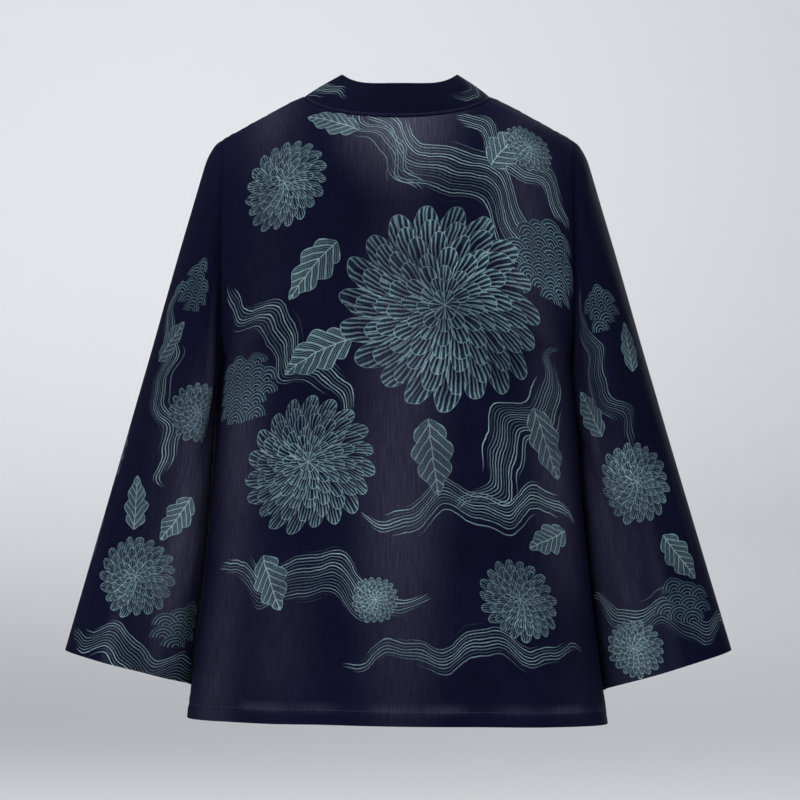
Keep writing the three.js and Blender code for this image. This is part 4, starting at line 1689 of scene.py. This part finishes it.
BACK_CREASES = creases(
    (-20, -70, -35, -340, 16, 1.9, 12),
    (60, -100, 75, -300, 11, -1.8, -8),
    (150, -130, 118, -360, 12, 2.6, 10),
    (-170, -170, -120, -370, 13, 2.9, -14),
    (-185, -260, -100, -410, 10, -2.2, 10),
    (188, -270, 120, -440, 10, -2.4, -11),
    (-55, -400, -70, -680, 15, -1.9, 10),
    (30, -460, 38, -700, 12, 1.9, -8),
    (-140, -440, -165, -690, 12, 2.1, 8),
    (125, -480, 142, -700, 13, -1.9, -6),
    (-115, 30, -160, -110, 12, 1.9, 8),
    (120, 20, 170, -120, 12, 1.9, -8),
)
FRONT_CREASES = {
    Side.LEFT: creases(
        (60, -20, 110, -240, 12, 2.6, 10),
        (170, -200, 90, -420, 12, -2.6, 12),
        (60, -360, 75, -660, 14, 2.2, -10),
        (140, -440, 165, -690, 12, -2.1, 8),
    ),
    Side.RIGHT: creases(
        (80, 40, 140, -180, 13, 2.4, -10),
        (200, -120, 120, -300, 11, -2.6, -10),
        (95, -260, 90, -580, 14, -2.2, 12),
        (170, -340, 185, -600, 12, 2.2, 8),
    ),
}
SLEEVE_CREASES = {
    Side.LEFT: creases(
        (60, -60, 10, -300, 12, 3.2, 12),
        (85, -180, 20, -400, 10, -2.9, -10),
        (-50, -30, -20, -220, 12, -2.2, 8),
        (50, -340, 30, -560, 10, 2.6, 6),
        (-50, -300, -55, -550, 12, 2.4, -8),
        (0, -360, -12, -560, 10, -2.2, 6),
        (190, -100, 160, -340, 13, 3.2, 10),
        (-200, -200, -170, -440, 13, 3.2, 10),
    ),
    Side.RIGHT: creases(
        (-80, -80, -30, -320, 12, 3.0, -12),
        (-90, -220, -20, -430, 10, -2.9, 10),
        (40, -40, 22, -250, 12, -2.1, 8),
        (-45, -380, -28, -560, 10, 2.6, 6),
        (45, -280, 52, -550, 12, 2.4, 8),
        (4, -400, 12, -560, 10, -2.1, -6),
        (-190, -120, -160, -360, 13, 3.2, 10),
        (190, -220, 165, -460, 13, 3.2, -10),
    ),
}
BAND_CREASES = creases(
    (-360, 10, -260, 34, 8, 1.0, 0),
    (300, 36, 420, 12, 8, 1.0, 0),
    (-600, 30, -520, 16, 9, -0.9, 0),
    (580, 14, 680, 34, 9, -0.9, 0),
)


# Studio


@dataclass(frozen=True)
class Paint:
    """A matt paint: its name, colour, roughness and gloss."""

    name: str
    colour: str
    roughness: float
    specular: float

    def make(self) -> bpy.types.Material:
        """Makes the material."""
        material = bpy.data.materials.new(self.name)
        material.use_nodes = True
        shader = node_of(material.node_tree, "BSDF_PRINCIPLED")
        shader.inputs["Base Color"].default_value = linear(self.colour)
        shader.inputs["Roughness"].default_value = self.roughness
        shader.inputs["Specular IOR Level"].default_value = self.specular
        return material


@dataclass(frozen=True)
class Lamp:
    """A square soft light: its place, what it is aimed at, its size, power and spread in degrees."""

    name: str
    place: tuple[float, float, float]
    size: float
    power: float
    spread: float
    aim: tuple[float, float, float] = (0.00336, 0.0, -0.33936)

    def hang(self) -> None:
        """Hangs the light, aimed and out of the camera's sight."""
        lamp = bpy.data.lights.new(self.name, "AREA")
        lamp.size, lamp.energy, lamp.spread = self.size, self.power, math.radians(self.spread)
        made = add_to_scene(self.name, lamp)
        made.location = self.place
        toward = Vector(self.aim) - Vector(self.place)
        made.rotation_euler = toward.to_track_quat("-Z", "Y").to_euler()
        made.visible_camera = False


# A seamless paper sweep, painted a matt pale grey.
PAPER = Paint("studio_paper", "#dcdde1", 0.95, 0.1)
LAMPS = (
    Lamp("key", (-3.0, -4.2, 2.6), 2.2, 32, 90),
    Lamp("front", (0.2, -5.6, 0.4), 2.6, 32, 90),
    Lamp("fill", (3.6, -3.4, 0.4), 2.6, 8, 100),
    Lamp("top", (-0.4, 0.4, 3.4), 2.0, 14, 70),
    Lamp("backdrop", (-1.0, 4.2, 3.2), 2.5, 62, 110, (-0.3, 7.4, 0.8)),
    Lamp("floor", (-4.0, 0.6, 1.8), 2.0, 36, 90, (-1.4, 3.0, -0.9)),
    Lamp("open front", (1.6, 5.2, 0.9), 2.6, 26, 70),
)


@dataclass(frozen=True)
class Studio:
    """A round sweep of pale paper, soft lights, and the camera at the photograph's angle."""

    floor_level: float = -0.95
    flat_radius: float = 3.0
    wall_radius: float = 8.5
    wall_height: float = 9.0
    bend_height: float = 3.0
    bend_rows: int = 40
    columns: int = 128
    hole: float = 0.02
    room: str = "#e6e8ee"
    room_light: float = 0.2
    camera_place: tuple[float, float, float] = (0.00336, -6.0, -0.33936)
    frame_width: float = 0.896
    sensor: float = 36.0

    def paper(self) -> None:
        """Makes the sweep: a flat floor, a quarter of an oval up to the wall, and the wall, turned
        round the vertical axis."""
        bend = np.linspace(0, np.pi / 2, self.bend_rows)[1:]
        swept = mix(self.flat_radius, self.wall_radius, np.sin(bend))
        radius = np.concatenate([[self.hole, self.flat_radius], swept, [self.wall_radius]])[:, None]
        raised = self.bend_height * (1 - np.cos(bend))
        level = np.concatenate([[0.0, 0.0], raised, [self.wall_height]])[:, None] + self.floor_level
        turn = np.linspace(0, 2 * np.pi, self.columns, endpoint=False)
        x, y, z = np.broadcast_arrays(radius * np.cos(turn), radius * np.sin(turn), level)
        index = np.arange(x.size).reshape(x.shape)
        faces = [*ring_quads(index)[:, ::-1], index[0]]
        points = np.stack([x, y, z], -1).reshape(-1, 3)
        add_object("paper_sweep", points, faces, [PAPER.make()])

    def build(self) -> None:
        """Sets up the sweep, the lights, the world and the camera."""
        self.paper()
        for lamp in LAMPS:
            lamp.hang()
        world = bpy.data.worlds.new("pale room")
        world.use_nodes = True
        background = node_of(world.node_tree, "BACKGROUND")
        background.inputs["Color"].default_value = linear(self.room)
        background.inputs["Strength"].default_value = self.room_light
        camera = bpy.data.cameras.new("camera")
        camera.sensor_width = self.sensor
        camera.lens = self.sensor * -self.camera_place[1] / self.frame_width
        made = add_to_scene("camera", camera)
        made.location = self.camera_place
        made.rotation_euler = (math.pi / 2, 0, 0)
        scene = bpy.context.scene
        scene.world, scene.camera = world, made
        scene.view_settings.view_transform = "Standard"


def main() -> None:
    """Builds the jacket and the studio."""
    logging.basicConfig(level=logging.INFO, format="%(message)s")
    Jacket().build()
    Studio().build()


if __name__ == "__main__":
    main()
